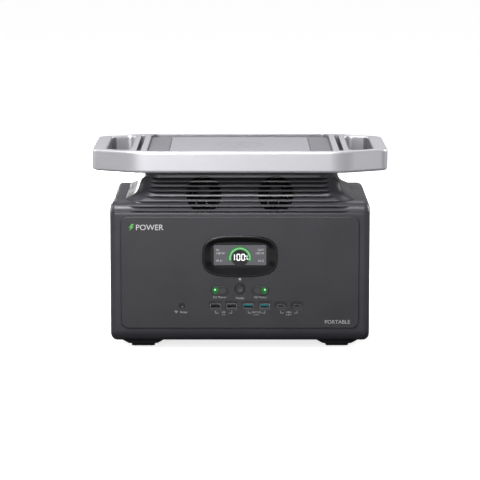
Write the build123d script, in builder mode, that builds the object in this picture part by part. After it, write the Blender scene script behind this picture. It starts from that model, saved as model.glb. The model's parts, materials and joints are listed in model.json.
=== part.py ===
from build123d import *
import os
from math import copysign, cos, pi, sin

os.makedirs("parts", exist_ok=True)

# Portable power station. Millimetres, +Z up, front faces -Y.
# The origin is on the ground, under the middle of the body.

# ---- driving dimensions ------------------------------------------------------

BODY_HALF_X = 183.5
BODY_HALF_Y = 119.5
BODY_BOTTOM = 11.0
SHOULDER_Z = 210.0
BODY_END_R = 9.0
BODY_TOP_R = 18.0
BODY_FOOT_R = 16.0
WALL = 3.0
PART_LINE_Z = 195.6

# neck under the tray: height, half width, half depth of each rounded section
NECK_SECTIONS = [
    (197.0, 163.0, 114.0),
    (204.0, 164.0, 112.4),
    (210.0, 163.0, 108.4),
    (216.0, 152.5, 102.6),
    (224.0, 145.5, 97.2),
    (236.0, 141.0, 93.6),
    (251.0, 139.0, 92.0),
]
NECK_R = 24.0

LOUVRE_PITCH = 6.35
LOUVRE_REACH = (158.0, 158.0, 151.0, 139.0, 137.0)
LOUVRE_FIRST_Z = 197.6
LOUVRE_COUNT = 8
LOUVRE_LIP = 2.1
LOUVRE_DEPTH = 4.2
LOUVRE_WALL = 8.0
LOUVRE_DROP = 0.4
LOUVRE_FEATHER = 0.1
CUT_OVER = 3.0
BAR_OVER = 1.0
BAR_DEEP = 7.0
SHORTEST_BAR = 4.5
REAR_SLOT = (60.0, 2.4)
REAR_SLOT_R = 1.1
REAR_SLOT_DROP = 1.5
REAR_SLOT_FIRST = 5
POST_FOOT_Z = 238.0
POST_SKIN = 1.0

FAN_X = 51.0
FAN_Z = 219.5
FAN_HOLE_R = 25.0
FAN_SIZE = 50.0
FAN_FRONT_Y = -82.0
FAN_DEPTH = 15.0
FAN_SPOKE = 2.4
FAN_SPOKE_OVER = 1.0
HUB_LENGTH = 10.0
BLADE_CHORD = 10.5
BLADE_THICK = 1.1
BLADE_ANGLE = 38.0
SHAFT_MID = 6.5
SHAFT_LENGTH = 3.6

PANEL_HALF_X = 168.5
PANEL_LOW_Z = 30.0
PANEL_HIGH_Z = 190.5
PANEL_R = 11.0
PANEL_PROUD = 1.5
PANEL_EDGE_R = 1.45
PANEL_FLANGE = 1.0
PANEL_FLANGE_THICK = 2.0
GAP = 0.15
POCKET_GAP = 0.2

DISPLAY_Z = 133.6
DISPLAY_HALF_X = 53.3
DISPLAY_HALF_Z = 29.5
SCREEN_X = 74.0
SCREEN_Z = 28.7
SCREEN_MID_Z = 135.0

TRAY_LOW = 251.0
TRAY_HIGH = 282.0
TRAY_HALF_X = 210.0
TRAY_HALF_Y = 116.0
TRAY_FLAT_X = 146.0
TRAY_END_Y = 82.0
TRAY_FLOOR = 277.0
TRAY_WELL_Y = 110.0
TRAY_RIM_X = 131.0
SLOT_X = (139.8, 146.2)
SLOT_Y = (-104.0, 92.0)
SLOT_DEPTH = 14.0
GRIP_X = (155.0, 190.0)
MAT_HALF_X = 100.0
MAT_HALF_Y = 97.0
MAT_THICK = 1.6
UNDERSIDE_THICK = 3.0

FRONT = -(BODY_HALF_Y + PANEL_PROUD)
FRONT_INNER = -(BODY_HALF_Y - WALL)
REAR = -FRONT
REAR_INNER = -FRONT_INNER
PANEL_MID_Z = (PANEL_LOW_Z + PANEL_HIGH_Z) / 2
PANEL_HEIGHT = PANEL_HIGH_Z - PANEL_LOW_Z

BUTTON_GAP = 0.3
BUTTON_PROUD = 0.3
BUTTON_TRAVEL = 1.2
DISPLAY_BUTTON = (0.0, 86.9)
PILL_BUTTON_X = 28.8
PILL_BUTTON_Z = 84.6
PILL_LENGTH = 24.3
PILL_HEIGHT = 14.0
RESET_BUTTON = (-82.1, 63.4)
STATUS_LENS = (0.0, 100.9)

PORT_Z = 62.4
USB_A_X = [-35.0, -11.7]
FAST_USB_X = [11.7, 35.2]
USB_C_X = [57.5, 81.0]
PORT_POCKET = (17.9, 12.6)
PORT_POCKET_RISE = 0.6
USB_C_POCKET = 11.4
USB_A_HOLE = (14.8, 7.0)
USB_C_HOLE = (9.6, 3.8)
USB_A_TONGUE = (11.4, 1.9)
USB_A_TONGUE_RISE = 1.5
USB_C_TONGUE = (6.7, 0.7)
TONGUE_SHORT = 3.0
PORT_BLOCK = 2.0
BUTTON_RECESS_R = 8.4
LENS_GAP = 0.05
PORT_BOARD_Y = -104.0

CELL_R = 16.0
CELL_LENGTH = 140.0
CELL_PITCH = 33.5
CELL_COLUMNS = 8
CELL_ROWS = 4
CELL_LOW_Z = 18.5
CELL_HIGH_Z = CELL_LOW_Z + CELL_LENGTH
HOLDER_HALF_X = 140.0
HOLDER_HALF_Y = 72.0
HOLDER_THICK = 10.0
BUSBAR = 0.6
INVERTER_Z = 168.0
BOARD = 1.6

OUTLET_X = [-128.0, -84.0]
OUTLET_Z = [86.0, 134.0]
CAR_SOCKET = (104.0, 138.0)
DC_JACK_X = [88.0, 120.0]
DC_JACK_Z = 92.0
INLET = (-8.0, 84.0)
SOLAR = (-8.0, 134.0)
BREAKER = (44.0, 84.0)


def save(piece, name):
    """Label one finished piece and write it."""
    piece.part.label = name
    export_step(piece.part, f"parts/{name}.step")


def front_plane(y):
    """Sketch plane at depth y: x to the right, y up, normal out of the front."""
    return Plane(origin=(0, y, 0), x_dir=(1, 0, 0), z_dir=(0, -1, 0))


def squircle_points(half_x, half_z, power, count=24):
    """Points round a superellipse, evenly spaced in angle."""
    points = []
    for i in range(count):
        angle = 2 * pi * (i + 0.5) / count
        c = cos(angle)
        s = sin(angle)
        x = copysign(half_x * abs(c) ** (2 / power), c)
        z = copysign(half_z * abs(s) ** (2 / power), s)
        points.append((x, z))
    return points


def squircle(plane, middle, half_x, half_z, power):
    """Closed superellipse face on a plane."""
    points = squircle_points(half_x, half_z, power)
    with BuildSketch(plane) as face:
        with BuildLine():
            Spline(*[(x + middle[0], z + middle[1]) for x, z in points], periodic=True)
        make_face()
    return face.sketch


# ---- casing ------------------------------------------------------------------

def body_block(inset, depth_inset=0.0):
    """Rounded lower block, shrunk by inset all round, and by more in depth if asked."""
    half_x = BODY_HALF_X - inset
    half_y = BODY_HALF_Y - max(inset, depth_inset)
    low = BODY_BOTTOM + inset
    high = SHOULDER_Z - inset
    with BuildPart() as block:
        with BuildSketch(Plane.YZ) as side:
            with Locations((0, (low + high) / 2)):
                Rectangle(2 * half_y, high - low)
            fillet(side.vertices().group_by(Axis.Y)[-1], BODY_TOP_R - inset)
            fillet(side.vertices().group_by(Axis.Y)[0], BODY_FOOT_R - inset)
        extrude(amount=half_x, both=True)
        for end in (0, -1):
            fillet(block.faces().sort_by(Axis.X)[end].edges(), BODY_END_R - inset)
    return block.part


def neck_block(inset, depth_inset, cap):
    """Flared neck, shrunk by its insets; cap raises its last section to open the top."""
    with BuildPart() as neck:
        for z, half_x, half_y in NECK_SECTIONS:
            with BuildSketch(Plane.XY.offset(z)):
                RectangleRounded(2 * (half_x - inset), 2 * (half_y - depth_inset), NECK_R - inset)
        loft()
        if cap > 0:
            extrude(neck.faces().sort_by(Axis.Z)[-1], amount=cap)
    return neck.part


def neck_half_depth(z):
    """Half depth of the casing's front at height z, along the louvres."""
    round_middle = SHOULDER_Z - BODY_TOP_R
    shoulder = 0.0
    if z < SHOULDER_Z:
        shoulder = BODY_HALF_Y - BODY_TOP_R + (BODY_TOP_R ** 2 - (z - round_middle) ** 2) ** 0.5
    neck = 0.0
    for low, high in zip(NECK_SECTIONS, NECK_SECTIONS[1:]):
        if low[0] <= z <= high[0]:
            share = (z - low[0]) / (high[0] - low[0])
            neck = low[2] + share * (high[2] - low[2])
    return max(shoulder, neck)


def louvre_cutter(index):
    """Groove under one louvre lip: flat above, sloping out below, fading at both ends."""
    top = LOUVRE_FIRST_Z + index * LOUVRE_PITCH
    bottom = top - (LOUVRE_PITCH - LOUVRE_LIP)
    surface_top = -neck_half_depth(top)
    surface_bottom = -neck_half_depth(bottom)
    straight = LOUVRE_REACH[min(index, len(LOUVRE_REACH) - 1)]
    with BuildPart() as groove:
        with BuildLine() as path:
            run = Line((0, surface_top, top), (straight - 26, surface_top, top))
            JernArc(run @ 1, run % 1, radius=70, arc_size=-28)
        with BuildSketch(Plane.YZ):
            with BuildLine():
                Polyline(
                    (surface_top + LOUVRE_DEPTH, top),
                    (surface_top - CUT_OVER, top),
                    (surface_bottom - CUT_OVER, bottom - LOUVRE_DROP),
                    (surface_bottom + LOUVRE_FEATHER, bottom),
                    close=True,
                )
            make_face()
        sweep(path=path.line)
        mirror(about=Plane.YZ)
    return groove.part


def fan_louvre_bars():
    """Thin louvre lips that cross the two round fan openings."""
    with BuildPart() as bars:
        for index in range(LOUVRE_COUNT):
            low = LOUVRE_FIRST_Z + index * LOUVRE_PITCH
            high = low + LOUVRE_LIP
            reach = FAN_HOLE_R ** 2 - min((low - FAN_Z) ** 2, (high - FAN_Z) ** 2)
            if reach <= SHORTEST_BAR ** 2:
                continue
            half = reach ** 0.5 + BAR_OVER
            y_low = -neck_half_depth(low)
            y_high = -neck_half_depth(high)
            with BuildSketch(Plane.YZ):
                with BuildLine():
                    Polyline(
                        (y_low, low),
                        (y_high, high),
                        (y_high + BAR_DEEP, high),
                        (y_low + BAR_DEEP, low),
                        close=True,
                    )
                make_face()
            extrude(amount=half, both=True)
    return bars.part


def shift_to_fans(bars):
    """The bars at both fan openings."""
    with BuildPart() as pair:
        with Locations((-FAN_X, 0, 0), (FAN_X, 0, 0)):
            add(bars)
    return pair.part


casing = body_block(0)
hollow = body_block(WALL)
shoulder_hollow = body_block(WALL, LOUVRE_WALL)
neck = neck_block(0, 0, 0)
neck_hollow = neck_block(WALL, LOUVRE_WALL, 1.0)
groove_cutters = [louvre_cutter(i) for i in range(LOUVRE_COUNT)]
rear_groove_cutters = [cutter.mirror(Plane.XZ) for cutter in groove_cutters]
fan_bars = shift_to_fans(fan_louvre_bars())

HATCH_HALF_X = 150.0
HATCH_HALF_Y = 46.0
HATCH_LIP = 6.0
HATCH_SPLIT_Z = BODY_BOTTOM + WALL / 2
FOOT_X = 138.5
FOOT_Y = 77.0
SCREW_R = 1.5
SCREW_HOLE_R = 1.6
FLOOR_TOP = BODY_BOTTOM + WALL
FOOT_PLACES = [(sx * FOOT_X, sy * FOOT_Y) for sx in (-1, 1) for sy in (-1, 1)]
HATCH_SCREWS = [(sx * (HATCH_HALF_X + 3), sy * 36) for sx in (-1, 1) for sy in (-1, 1)]

with BuildPart() as lower_housing:
    add(casing)
    add(hollow, mode=Mode.SUBTRACT)
    split(bisect_by=Plane.XY.offset(PART_LINE_Z), keep=Keep.BOTTOM)
    with BuildSketch(front_plane(FRONT_INNER + 1)):
        with Locations((0, PANEL_MID_Z)):
            RectangleRounded(2 * PANEL_HALF_X, PANEL_HEIGHT, PANEL_R)
    extrude(amount=2 * WALL, mode=Mode.SUBTRACT)
    with BuildSketch(front_plane(REAR_INNER - 1)):
        with Locations((0, PANEL_MID_Z)):
            RectangleRounded(2 * PANEL_HALF_X, PANEL_HEIGHT, PANEL_R)
    extrude(amount=-2 * WALL, mode=Mode.SUBTRACT)
    with BuildSketch(Plane.XY.offset(BODY_BOTTOM)):
        RectangleRounded(2 * HATCH_HALF_X, 2 * HATCH_HALF_Y, 8)
    extrude(amount=WALL, mode=Mode.SUBTRACT)
    with BuildSketch(Plane.XY.offset(BODY_BOTTOM)):
        RectangleRounded(2 * (HATCH_HALF_X + HATCH_LIP), 2 * (HATCH_HALF_Y + HATCH_LIP), 8 + HATCH_LIP)
    extrude(amount=WALL / 2, mode=Mode.SUBTRACT)
    with BuildSketch(Plane.XY.offset(BODY_BOTTOM)):
        with Locations(*FOOT_PLACES, *HATCH_SCREWS):
            Circle(SCREW_HOLE_R)
    extrude(amount=WALL, mode=Mode.SUBTRACT)
save(lower_housing, "lower_housing")

with BuildPart() as base_hatch:
    with BuildSketch(Plane.XY.offset(BODY_BOTTOM)):
        RectangleRounded(
            2 * (HATCH_HALF_X + HATCH_LIP - GAP), 2 * (HATCH_HALF_Y + HATCH_LIP - GAP), 8 + HATCH_LIP
        )
    extrude(amount=WALL / 2)
    with BuildSketch(Plane.XY.offset(HATCH_SPLIT_Z)):
        RectangleRounded(2 * (HATCH_HALF_X - GAP), 2 * (HATCH_HALF_Y - GAP), 8)
    extrude(amount=WALL / 2)
    with BuildSketch(Plane.XY.offset(BODY_BOTTOM)):
        with Locations(*HATCH_SCREWS):
            Circle(SCREW_HOLE_R)
    extrude(amount=WALL, mode=Mode.SUBTRACT)
save(base_hatch, "base_hatch")

SEAM = 0.3
SCREW_POST = (130.0, 78.0)
SCREW_POST_R = 4.0
POST_PLACES = [(sx * SCREW_POST[0], sy * SCREW_POST[1]) for sx in (-1, 1) for sy in (-1, 1)]

with BuildPart() as upper_housing:
    add(casing)
    add(neck)
    add([shoulder_hollow, neck_hollow], mode=Mode.SUBTRACT)
    split(bisect_by=Plane.XY.offset(PART_LINE_Z + SEAM), keep=Keep.TOP)
    add(groove_cutters + rear_groove_cutters, mode=Mode.SUBTRACT)
    with BuildSketch(front_plane(-80)):
        with Locations((-FAN_X, FAN_Z), (FAN_X, FAN_Z)):
            Circle(FAN_HOLE_R)
    extrude(amount=50, mode=Mode.SUBTRACT)
    add(fan_bars)
    with BuildSketch(Plane.XY.offset(POST_FOOT_Z)):
        with Locations(*POST_PLACES):
            Circle(SCREW_POST_R)
    extrude(amount=TRAY_LOW - POST_FOOT_Z)
    with BuildSketch(Plane.XY.offset(POST_FOOT_Z + POST_SKIN)):
        with Locations(*POST_PLACES):
            Circle(SCREW_HOLE_R)
    extrude(amount=20, mode=Mode.SUBTRACT)
    with BuildSketch(front_plane(REAR_INNER + 4)):
        for index in range(REAR_SLOT_FIRST, LOUVRE_COUNT):
            slot_z = LOUVRE_FIRST_Z + index * LOUVRE_PITCH - REAR_SLOT_DROP
            with Locations((-FAN_X, slot_z), (FAN_X, slot_z)):
                RectangleRounded(*REAR_SLOT, REAR_SLOT_R)
    extrude(amount=44, mode=Mode.SUBTRACT)
save(upper_housing, "upper_housing")

# ---- feet and base screws ----------------------------------------------------

FOOT_TOP = (66.0, 50.0)
FOOT_LOW = (44.0, 38.0)
FOOT_LOW_Z = 4.0
PAD = (33.0, 30.0)
PAD_R = 5.0
PAD_SINK = 1.0
SCREW_HEAD_R = 3.0
SCREW_HEAD = 1.8
HEX_R = 1.4
HEX_DEEP = 1.0


def make_foot(name, x, y):
    """Tapered moulded foot under the casing, with a recess for its rubber pad."""
    with BuildPart() as foot:
        with BuildSketch(Plane.XY.offset(BODY_BOTTOM)):
            with Locations((x, y)):
                RectangleRounded(*FOOT_TOP, 9)
        with BuildSketch(Plane.XY.offset(FOOT_LOW_Z)):
            with Locations((x, y)):
                RectangleRounded(*FOOT_LOW, 7)
        loft()
        with BuildSketch(Plane.XY.offset(FOOT_LOW_Z)):
            with Locations((x, y)):
                RectangleRounded(PAD[0] + POCKET_GAP, PAD[1] + POCKET_GAP, PAD_R)
        extrude(amount=PAD_SINK, mode=Mode.SUBTRACT)
        with BuildSketch(Plane.XY.offset(FOOT_LOW_Z)):
            with Locations((x, y)):
                Circle(SCREW_HOLE_R)
        extrude(amount=BODY_BOTTOM, mode=Mode.SUBTRACT)
    save(foot, name)


for side, sx in (("left", -1), ("right", 1)):
    for end, sy in (("front", -1), ("rear", 1)):
        make_foot(f"foot_{end}_{side}", sx * FOOT_X, sy * FOOT_Y)

with BuildPart() as foot_pads:
    with BuildSketch():
        with Locations(*FOOT_PLACES):
            RectangleRounded(*PAD, PAD_R)
    extrude(amount=FOOT_LOW_Z + PAD_SINK)
    chamfer(foot_pads.faces().sort_by(Axis.Z)[0].outer_wire().edges(), 0.8)
    for place in FOOT_PLACES:
        with BuildSketch():
            with Locations(place):
                Circle(SCREW_HEAD_R + 0.6)
        extrude(amount=FOOT_LOW_Z + PAD_SINK, mode=Mode.SUBTRACT)
save(foot_pads, "foot_pads")


def screw_set(places, seat_z, length, up):
    """Round-headed screws with their heads on seat_z; up is +1 when the shank points up."""
    with BuildPart() as screws:
        with BuildSketch(Plane.XY.offset(seat_z)):
            with Locations(*places):
                Circle(SCREW_HEAD_R)
        extrude(amount=-up * SCREW_HEAD)
        with BuildSketch(Plane.XY.offset(seat_z)):
            with Locations(*places):
                Circle(SCREW_R)
        extrude(amount=up * length)
        with BuildSketch(Plane.XY.offset(seat_z - up * SCREW_HEAD)):
            with Locations(*places):
                RegularPolygon(HEX_R, 6)
        extrude(amount=up * HEX_DEEP, mode=Mode.SUBTRACT)
    return screws


with BuildPart() as base_screws:
    add(screw_set(FOOT_PLACES, FOOT_LOW_Z + PAD_SINK, 12, 1).part)
    add(screw_set(HATCH_SCREWS, BODY_BOTTOM, 6, 1).part)
save(base_screws, "base_screws")

# ---- carrying tray -----------------------------------------------------------

TRAY_CORNER_R = 70.0
TRAY_END_R = 20.0
TRAY_EDGE_R = 4.0
WELL_R = 10.0
GRIP_END_Y = (99.0, 80.5)
GRIP_R = 9.0
HOLLOW_HALF = (134.0, 103.0)
FLOOR_THICK = 4.0

with BuildPart() as tray_frame:
    with BuildSketch(Plane.XY.offset(TRAY_LOW)) as outline:
        with BuildLine():
            Polyline(
                (0, -TRAY_HALF_Y),
                (TRAY_FLAT_X, -TRAY_HALF_Y),
                (TRAY_HALF_X, -TRAY_END_Y),
                (TRAY_HALF_X, TRAY_END_Y),
                (TRAY_FLAT_X, TRAY_HALF_Y),
                (0, TRAY_HALF_Y),
                close=True,
            )
        make_face()
        mirror(about=Plane.YZ)
        fillet(outline.vertices().filter_by(lambda v: abs(abs(v.X) - TRAY_FLAT_X) < 1), TRAY_CORNER_R)
        fillet(outline.vertices().filter_by(lambda v: abs(abs(v.X) - TRAY_HALF_X) < 1), TRAY_END_R)
    extrude(amount=TRAY_HIGH - TRAY_LOW)
    top_edges = tray_frame.faces().sort_by(Axis.Z)[-1].edges()
    low_edges = tray_frame.faces().sort_by(Axis.Z)[0].edges()
    fillet(top_edges + low_edges, TRAY_EDGE_R)
    with BuildSketch(Plane.XY.offset(TRAY_LOW)) as grips:
        for side in (-1, 1):
            with BuildLine():
                Polyline(
                    (side * GRIP_X[0], -GRIP_END_Y[0]),
                    (side * GRIP_X[1], -GRIP_END_Y[1]),
                    (side * GRIP_X[1], GRIP_END_Y[1]),
                    (side * GRIP_X[0], GRIP_END_Y[0]),
                    close=True,
                )
            make_face()
        fillet(grips.vertices(), GRIP_R)
    extrude(amount=TRAY_HIGH - TRAY_LOW, mode=Mode.SUBTRACT)
    grip_rims = tray_frame.edges().filter_by(
        lambda e: GRIP_X[0] - 1 < abs(e.center().X) < GRIP_X[1] + 1
        and abs(e.center().Y) < GRIP_END_Y[0] + 1
        and min(abs(e.center().Z - TRAY_HIGH), abs(e.center().Z - TRAY_LOW)) < 0.1
        and e.bounding_box().size.Z < 0.1
    )
    fillet(grip_rims, 3.5)
    with BuildSketch(Plane.XY.offset(TRAY_HIGH)):
        RectangleRounded(2 * TRAY_RIM_X, 2 * TRAY_WELL_Y, WELL_R)
    extrude(amount=TRAY_FLOOR - TRAY_HIGH, mode=Mode.SUBTRACT)
    well_rim = tray_frame.edges().filter_by(
        lambda e: abs(e.center().Z - TRAY_HIGH) < 0.1 and abs(e.center().X) < TRAY_RIM_X + 1
        and abs(e.center().Y) < TRAY_WELL_Y + 1
    )
    fillet(well_rim, 1.8)
    with BuildSketch(Plane.XY.offset(TRAY_HIGH)):
        for side in (-1, 1):
            with Locations((side * sum(SLOT_X) / 2, sum(SLOT_Y) / 2)):
                Rectangle(SLOT_X[1] - SLOT_X[0], SLOT_Y[1] - SLOT_Y[0])
    extrude(amount=-SLOT_DEPTH, mode=Mode.SUBTRACT)
    with BuildSketch(Plane.XY.offset(TRAY_LOW)):
        RectangleRounded(2 * HOLLOW_HALF[0], 2 * HOLLOW_HALF[1], 6)
    extrude(amount=TRAY_FLOOR - FLOOR_THICK - TRAY_LOW, mode=Mode.SUBTRACT)
save(tray_frame, "tray_frame")

with BuildPart() as tray_underside:
    with BuildSketch(Plane.XY.offset(TRAY_LOW)):
        RectangleRounded(2 * (HOLLOW_HALF[0] - GAP), 2 * (HOLLOW_HALF[1] - GAP), 6)
        with Locations(*POST_PLACES):
            Circle(SCREW_HOLE_R, mode=Mode.SUBTRACT)
    extrude(amount=UNDERSIDE_THICK)
save(tray_underside, "tray_underside")

tray_screws = screw_set(POST_PLACES, TRAY_LOW + UNDERSIDE_THICK, 12, -1)
save(tray_screws, "tray_screws")

with BuildPart() as charging_mat:
    with BuildSketch(Plane.XY.offset(TRAY_FLOOR)):
        RectangleRounded(2 * MAT_HALF_X, 2 * MAT_HALF_Y, 5)
    extrude(amount=MAT_THICK)
    chamfer(charging_mat.faces().sort_by(Axis.Z)[-1].edges(), 0.5)
save(charging_mat, "charging_mat")

STRIP = (28.4, 208.0)
STRIP_X = 115.2
STRIP_R = 6.0
STRIP_THICK = 0.8

with BuildPart() as floor_strips:
    with BuildSketch(Plane.XY.offset(TRAY_FLOOR)):
        for side in (-1, 1):
            with Locations((side * STRIP_X, 0)):
                RectangleRounded(*STRIP, STRIP_R)
    extrude(amount=STRIP_THICK)
save(floor_strips, "floor_strips")

# ---- wireless charger under the mat --------------------------------------------

COIL_R = (9.0, 23.0)
COIL_THICK = 1.2
FERRITE_R = 26.0
FERRITE_THICK = 1.0
CHARGER_BOARD = (52.0, 60.0)
CHARGER_BOARD_X = 70.0
CHARGER_CHIPS = [(60.0, 0.0), (78.0, 16.0), (78.0, -16.0)]
CHARGER_CHIP = 12.0
CHARGER_CHIP_THICK = 2.5
BOARD_R = 2.0
FLOOR_UNDER = TRAY_FLOOR - FLOOR_THICK

with BuildPart() as charging_coil:
    with BuildSketch(Plane.XY.offset(FLOOR_UNDER - COIL_THICK)):
        Circle(COIL_R[1])
        Circle(COIL_R[0], mode=Mode.SUBTRACT)
    extrude(amount=COIL_THICK)
save(charging_coil, "charging_coil")

with BuildPart() as ferrite_disc:
    with BuildSketch(Plane.XY.offset(FLOOR_UNDER - COIL_THICK - FERRITE_THICK)):
        Circle(FERRITE_R)
    extrude(amount=FERRITE_THICK)
save(ferrite_disc, "ferrite_disc")

with BuildPart() as charger_board:
    with BuildSketch(Plane.XY.offset(TRAY_LOW + UNDERSIDE_THICK)):
        with Locations((CHARGER_BOARD_X, 0)):
            RectangleRounded(*CHARGER_BOARD, BOARD_R)
    extrude(amount=BOARD)
    with BuildSketch(Plane.XY.offset(TRAY_LOW + UNDERSIDE_THICK + BOARD)):
        with Locations(*CHARGER_CHIPS):
            Rectangle(CHARGER_CHIP, CHARGER_CHIP)
    extrude(amount=CHARGER_CHIP_THICK)
save(charger_board, "charger_board")

# ---- panels --------------------------------------------------------------------

BEZEL_POWER = 3.2


def panel_blank(flange_plane_y, outward):
    """Raised panel plate with its seating flange behind; outward is -1 in front, +1 behind."""
    with BuildPart() as blank:
        with BuildSketch(front_plane(flange_plane_y)):
            with Locations((0, PANEL_MID_Z)):
                RectangleRounded(2 * (PANEL_HALF_X - GAP), PANEL_HEIGHT - 2 * GAP, PANEL_R - GAP)
        extrude(amount=-outward * (WALL + PANEL_PROUD))
        face = blank.faces().sort_by(Axis.Y)[0 if outward < 0 else -1]
        fillet(face.edges(), PANEL_EDGE_R)
        with BuildSketch(front_plane(flange_plane_y)):
            with Locations((0, PANEL_MID_Z)):
                RectangleRounded(
                    2 * (PANEL_HALF_X + PANEL_FLANGE),
                    PANEL_HEIGHT + 2 * PANEL_FLANGE,
                    PANEL_R + PANEL_FLANGE,
                )
        extrude(amount=outward * PANEL_FLANGE_THICK)
    return blank.part


ROUND_HOLE_R = 6.5 + BUTTON_GAP
RESET_R = 4.0
LENS_R = 1.9
POCKET_DEPTH = 1.5
PILLS = [(-PILL_BUTTON_X, PILL_BUTTON_Z), (PILL_BUTTON_X, PILL_BUTTON_Z)]

with BuildPart() as front_panel:
    add(panel_blank(FRONT_INNER, -1))
    extrude(
        squircle(front_plane(-110), (0, DISPLAY_Z), DISPLAY_HALF_X + GAP, DISPLAY_HALF_Z + GAP, BEZEL_POWER),
        amount=20,
        mode=Mode.SUBTRACT,
    )
    with BuildSketch(front_plane(FRONT)):
        with Locations(DISPLAY_BUTTON):
            Circle(BUTTON_RECESS_R)
        for x in USB_A_X + FAST_USB_X:
            with Locations((x, PORT_Z + PORT_POCKET_RISE)):
                RectangleRounded(*PORT_POCKET, 2)
        for x in USB_C_X:
            with Locations((x, PORT_Z + PORT_POCKET_RISE)):
                SlotOverall(PORT_POCKET[0], USB_C_POCKET)
    extrude(amount=-POCKET_DEPTH, mode=Mode.SUBTRACT)
    with BuildSketch(front_plane(-110)):
        with Locations(DISPLAY_BUTTON):
            Circle(ROUND_HOLE_R)
        with Locations(*PILLS):
            SlotOverall(PILL_LENGTH, PILL_HEIGHT)
        with Locations(RESET_BUTTON):
            Circle(RESET_R + BUTTON_GAP)
        with Locations(STATUS_LENS):
            Circle(LENS_R + LENS_GAP)
        for x in USB_A_X + FAST_USB_X:
            with Locations((x, PORT_Z)):
                Rectangle(*USB_A_HOLE)
        for x in USB_C_X:
            with Locations((x, PORT_Z)):
                SlotOverall(*USB_C_HOLE)
    extrude(amount=20, mode=Mode.SUBTRACT)
save(front_panel, "front_panel")

OUTLET = (38.0, 40.0)
OUTLET_R = 4.0
INLET_R = 3.0
SOCKET_POCKET_R = 6.0
INLET_SIZE = (50.0, 29.0)
SOLAR_SIZE = (34.0, 24.0)
JACK_R = 7.5
SOCKET_POCKET = (38.0, 46.0)
SOCKET_POCKET_UP = 3.5
BREAKER_R = 5.5
OUTLET_PLACES = [(x, z) for x in OUTLET_X for z in OUTLET_Z]
JACK_PLACES = [(x, DC_JACK_Z) for x in DC_JACK_X]
SOCKET_POCKET_MID = (CAR_SOCKET[0], CAR_SOCKET[1] + SOCKET_POCKET_UP)

with BuildPart() as rear_panel:
    add(panel_blank(REAR_INNER, 1))
    with BuildSketch(front_plane(REAR_INNER - 5)):
        with Locations(*OUTLET_PLACES):
            RectangleRounded(OUTLET[0] + POCKET_GAP, OUTLET[1] + POCKET_GAP, OUTLET_R)
        with Locations(INLET):
            RectangleRounded(INLET_SIZE[0] + POCKET_GAP, INLET_SIZE[1] + POCKET_GAP, INLET_R)
        with Locations(SOLAR):
            RectangleRounded(SOLAR_SIZE[0] + POCKET_GAP, SOLAR_SIZE[1] + POCKET_GAP, INLET_R)
        with Locations(*JACK_PLACES):
            Circle(JACK_R + POCKET_GAP / 2)
        with Locations(SOCKET_POCKET_MID):
            RectangleRounded(
                SOCKET_POCKET[0] + POCKET_GAP,
                SOCKET_POCKET[1] + POCKET_GAP,
                SOCKET_POCKET_R,
            )
        with Locations(BREAKER):
            Circle(BREAKER_R + BUTTON_GAP)
    extrude(amount=-20, mode=Mode.SUBTRACT)
save(rear_panel, "rear_panel")

# ---- display and buttons ---------------------------------------------------------

BEZEL_FRONT = FRONT - 0.6
BEZEL_BACK = -113.0
DISH_FLOOR = FRONT + 3.6
LENS_THICK = 1.2
LENS_FRONT = DISH_FLOOR - 0.2

with BuildPart() as display_bezel:
    extrude(
        squircle(front_plane(BEZEL_BACK), (0, DISPLAY_Z), DISPLAY_HALF_X, DISPLAY_HALF_Z, BEZEL_POWER),
        amount=BEZEL_BACK - BEZEL_FRONT,
    )
    fillet(display_bezel.faces().sort_by(Axis.Y)[0].edges(), 0.8)
    loft(
        sections=[
            squircle(front_plane(DISH_FLOOR), (0, SCREEN_MID_Z), 41.0, 18.2, 5.0),
            squircle(front_plane(BEZEL_FRONT - 0.2), (0, DISPLAY_Z), 50.9, 27.2, BEZEL_POWER),
        ],
        mode=Mode.SUBTRACT,
    )
    with BuildSketch(front_plane(LENS_FRONT)):
        with Locations((0, SCREEN_MID_Z)):
            RectangleRounded(SCREEN_X + 0.2, SCREEN_Z + 0.2, 1.2)
    extrude(amount=-LENS_THICK, mode=Mode.SUBTRACT)
    with BuildSketch(front_plane(BEZEL_BACK)):
        with Locations((0, SCREEN_MID_Z)):
            Rectangle(SCREEN_X - 4, SCREEN_Z - 4)
    extrude(amount=10, mode=Mode.SUBTRACT)
save(display_bezel, "display_bezel")

with BuildPart() as display_lens:
    with BuildSketch(front_plane(LENS_FRONT)):
        with Locations((0, SCREEN_MID_Z)):
            RectangleRounded(SCREEN_X, SCREEN_Z, 1.1)
    extrude(amount=-LENS_THICK)
save(display_lens, "display_lens")

with BuildPart() as lcd_module:
    with BuildSketch(front_plane(BEZEL_BACK)):
        with Locations((0, SCREEN_MID_Z)):
            RectangleRounded(SCREEN_X + 8, SCREEN_Z + 8, 2)
    extrude(amount=-3.5)
save(lcd_module, "lcd_module")

with BuildPart() as status_lens:
    with BuildSketch(front_plane(BEZEL_BACK)):
        with Locations(STATUS_LENS):
            Circle(LENS_R)
    extrude(amount=BEZEL_BACK - FRONT + 0.2)
    fillet(status_lens.faces().sort_by(Axis.Y)[0].edges(), 0.5)
save(status_lens, "status_lens")

BUTTON_SEAT_GAP = 0.3
CAP_BACK = FRONT_INNER + PANEL_FLANGE_THICK + BUTTON_SEAT_GAP
FLANGE_BACK = CAP_BACK + 1.2
STEM_BACK = -111.0
STEM_R = 2.0
FLANGE_OVER = 1.2


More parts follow.
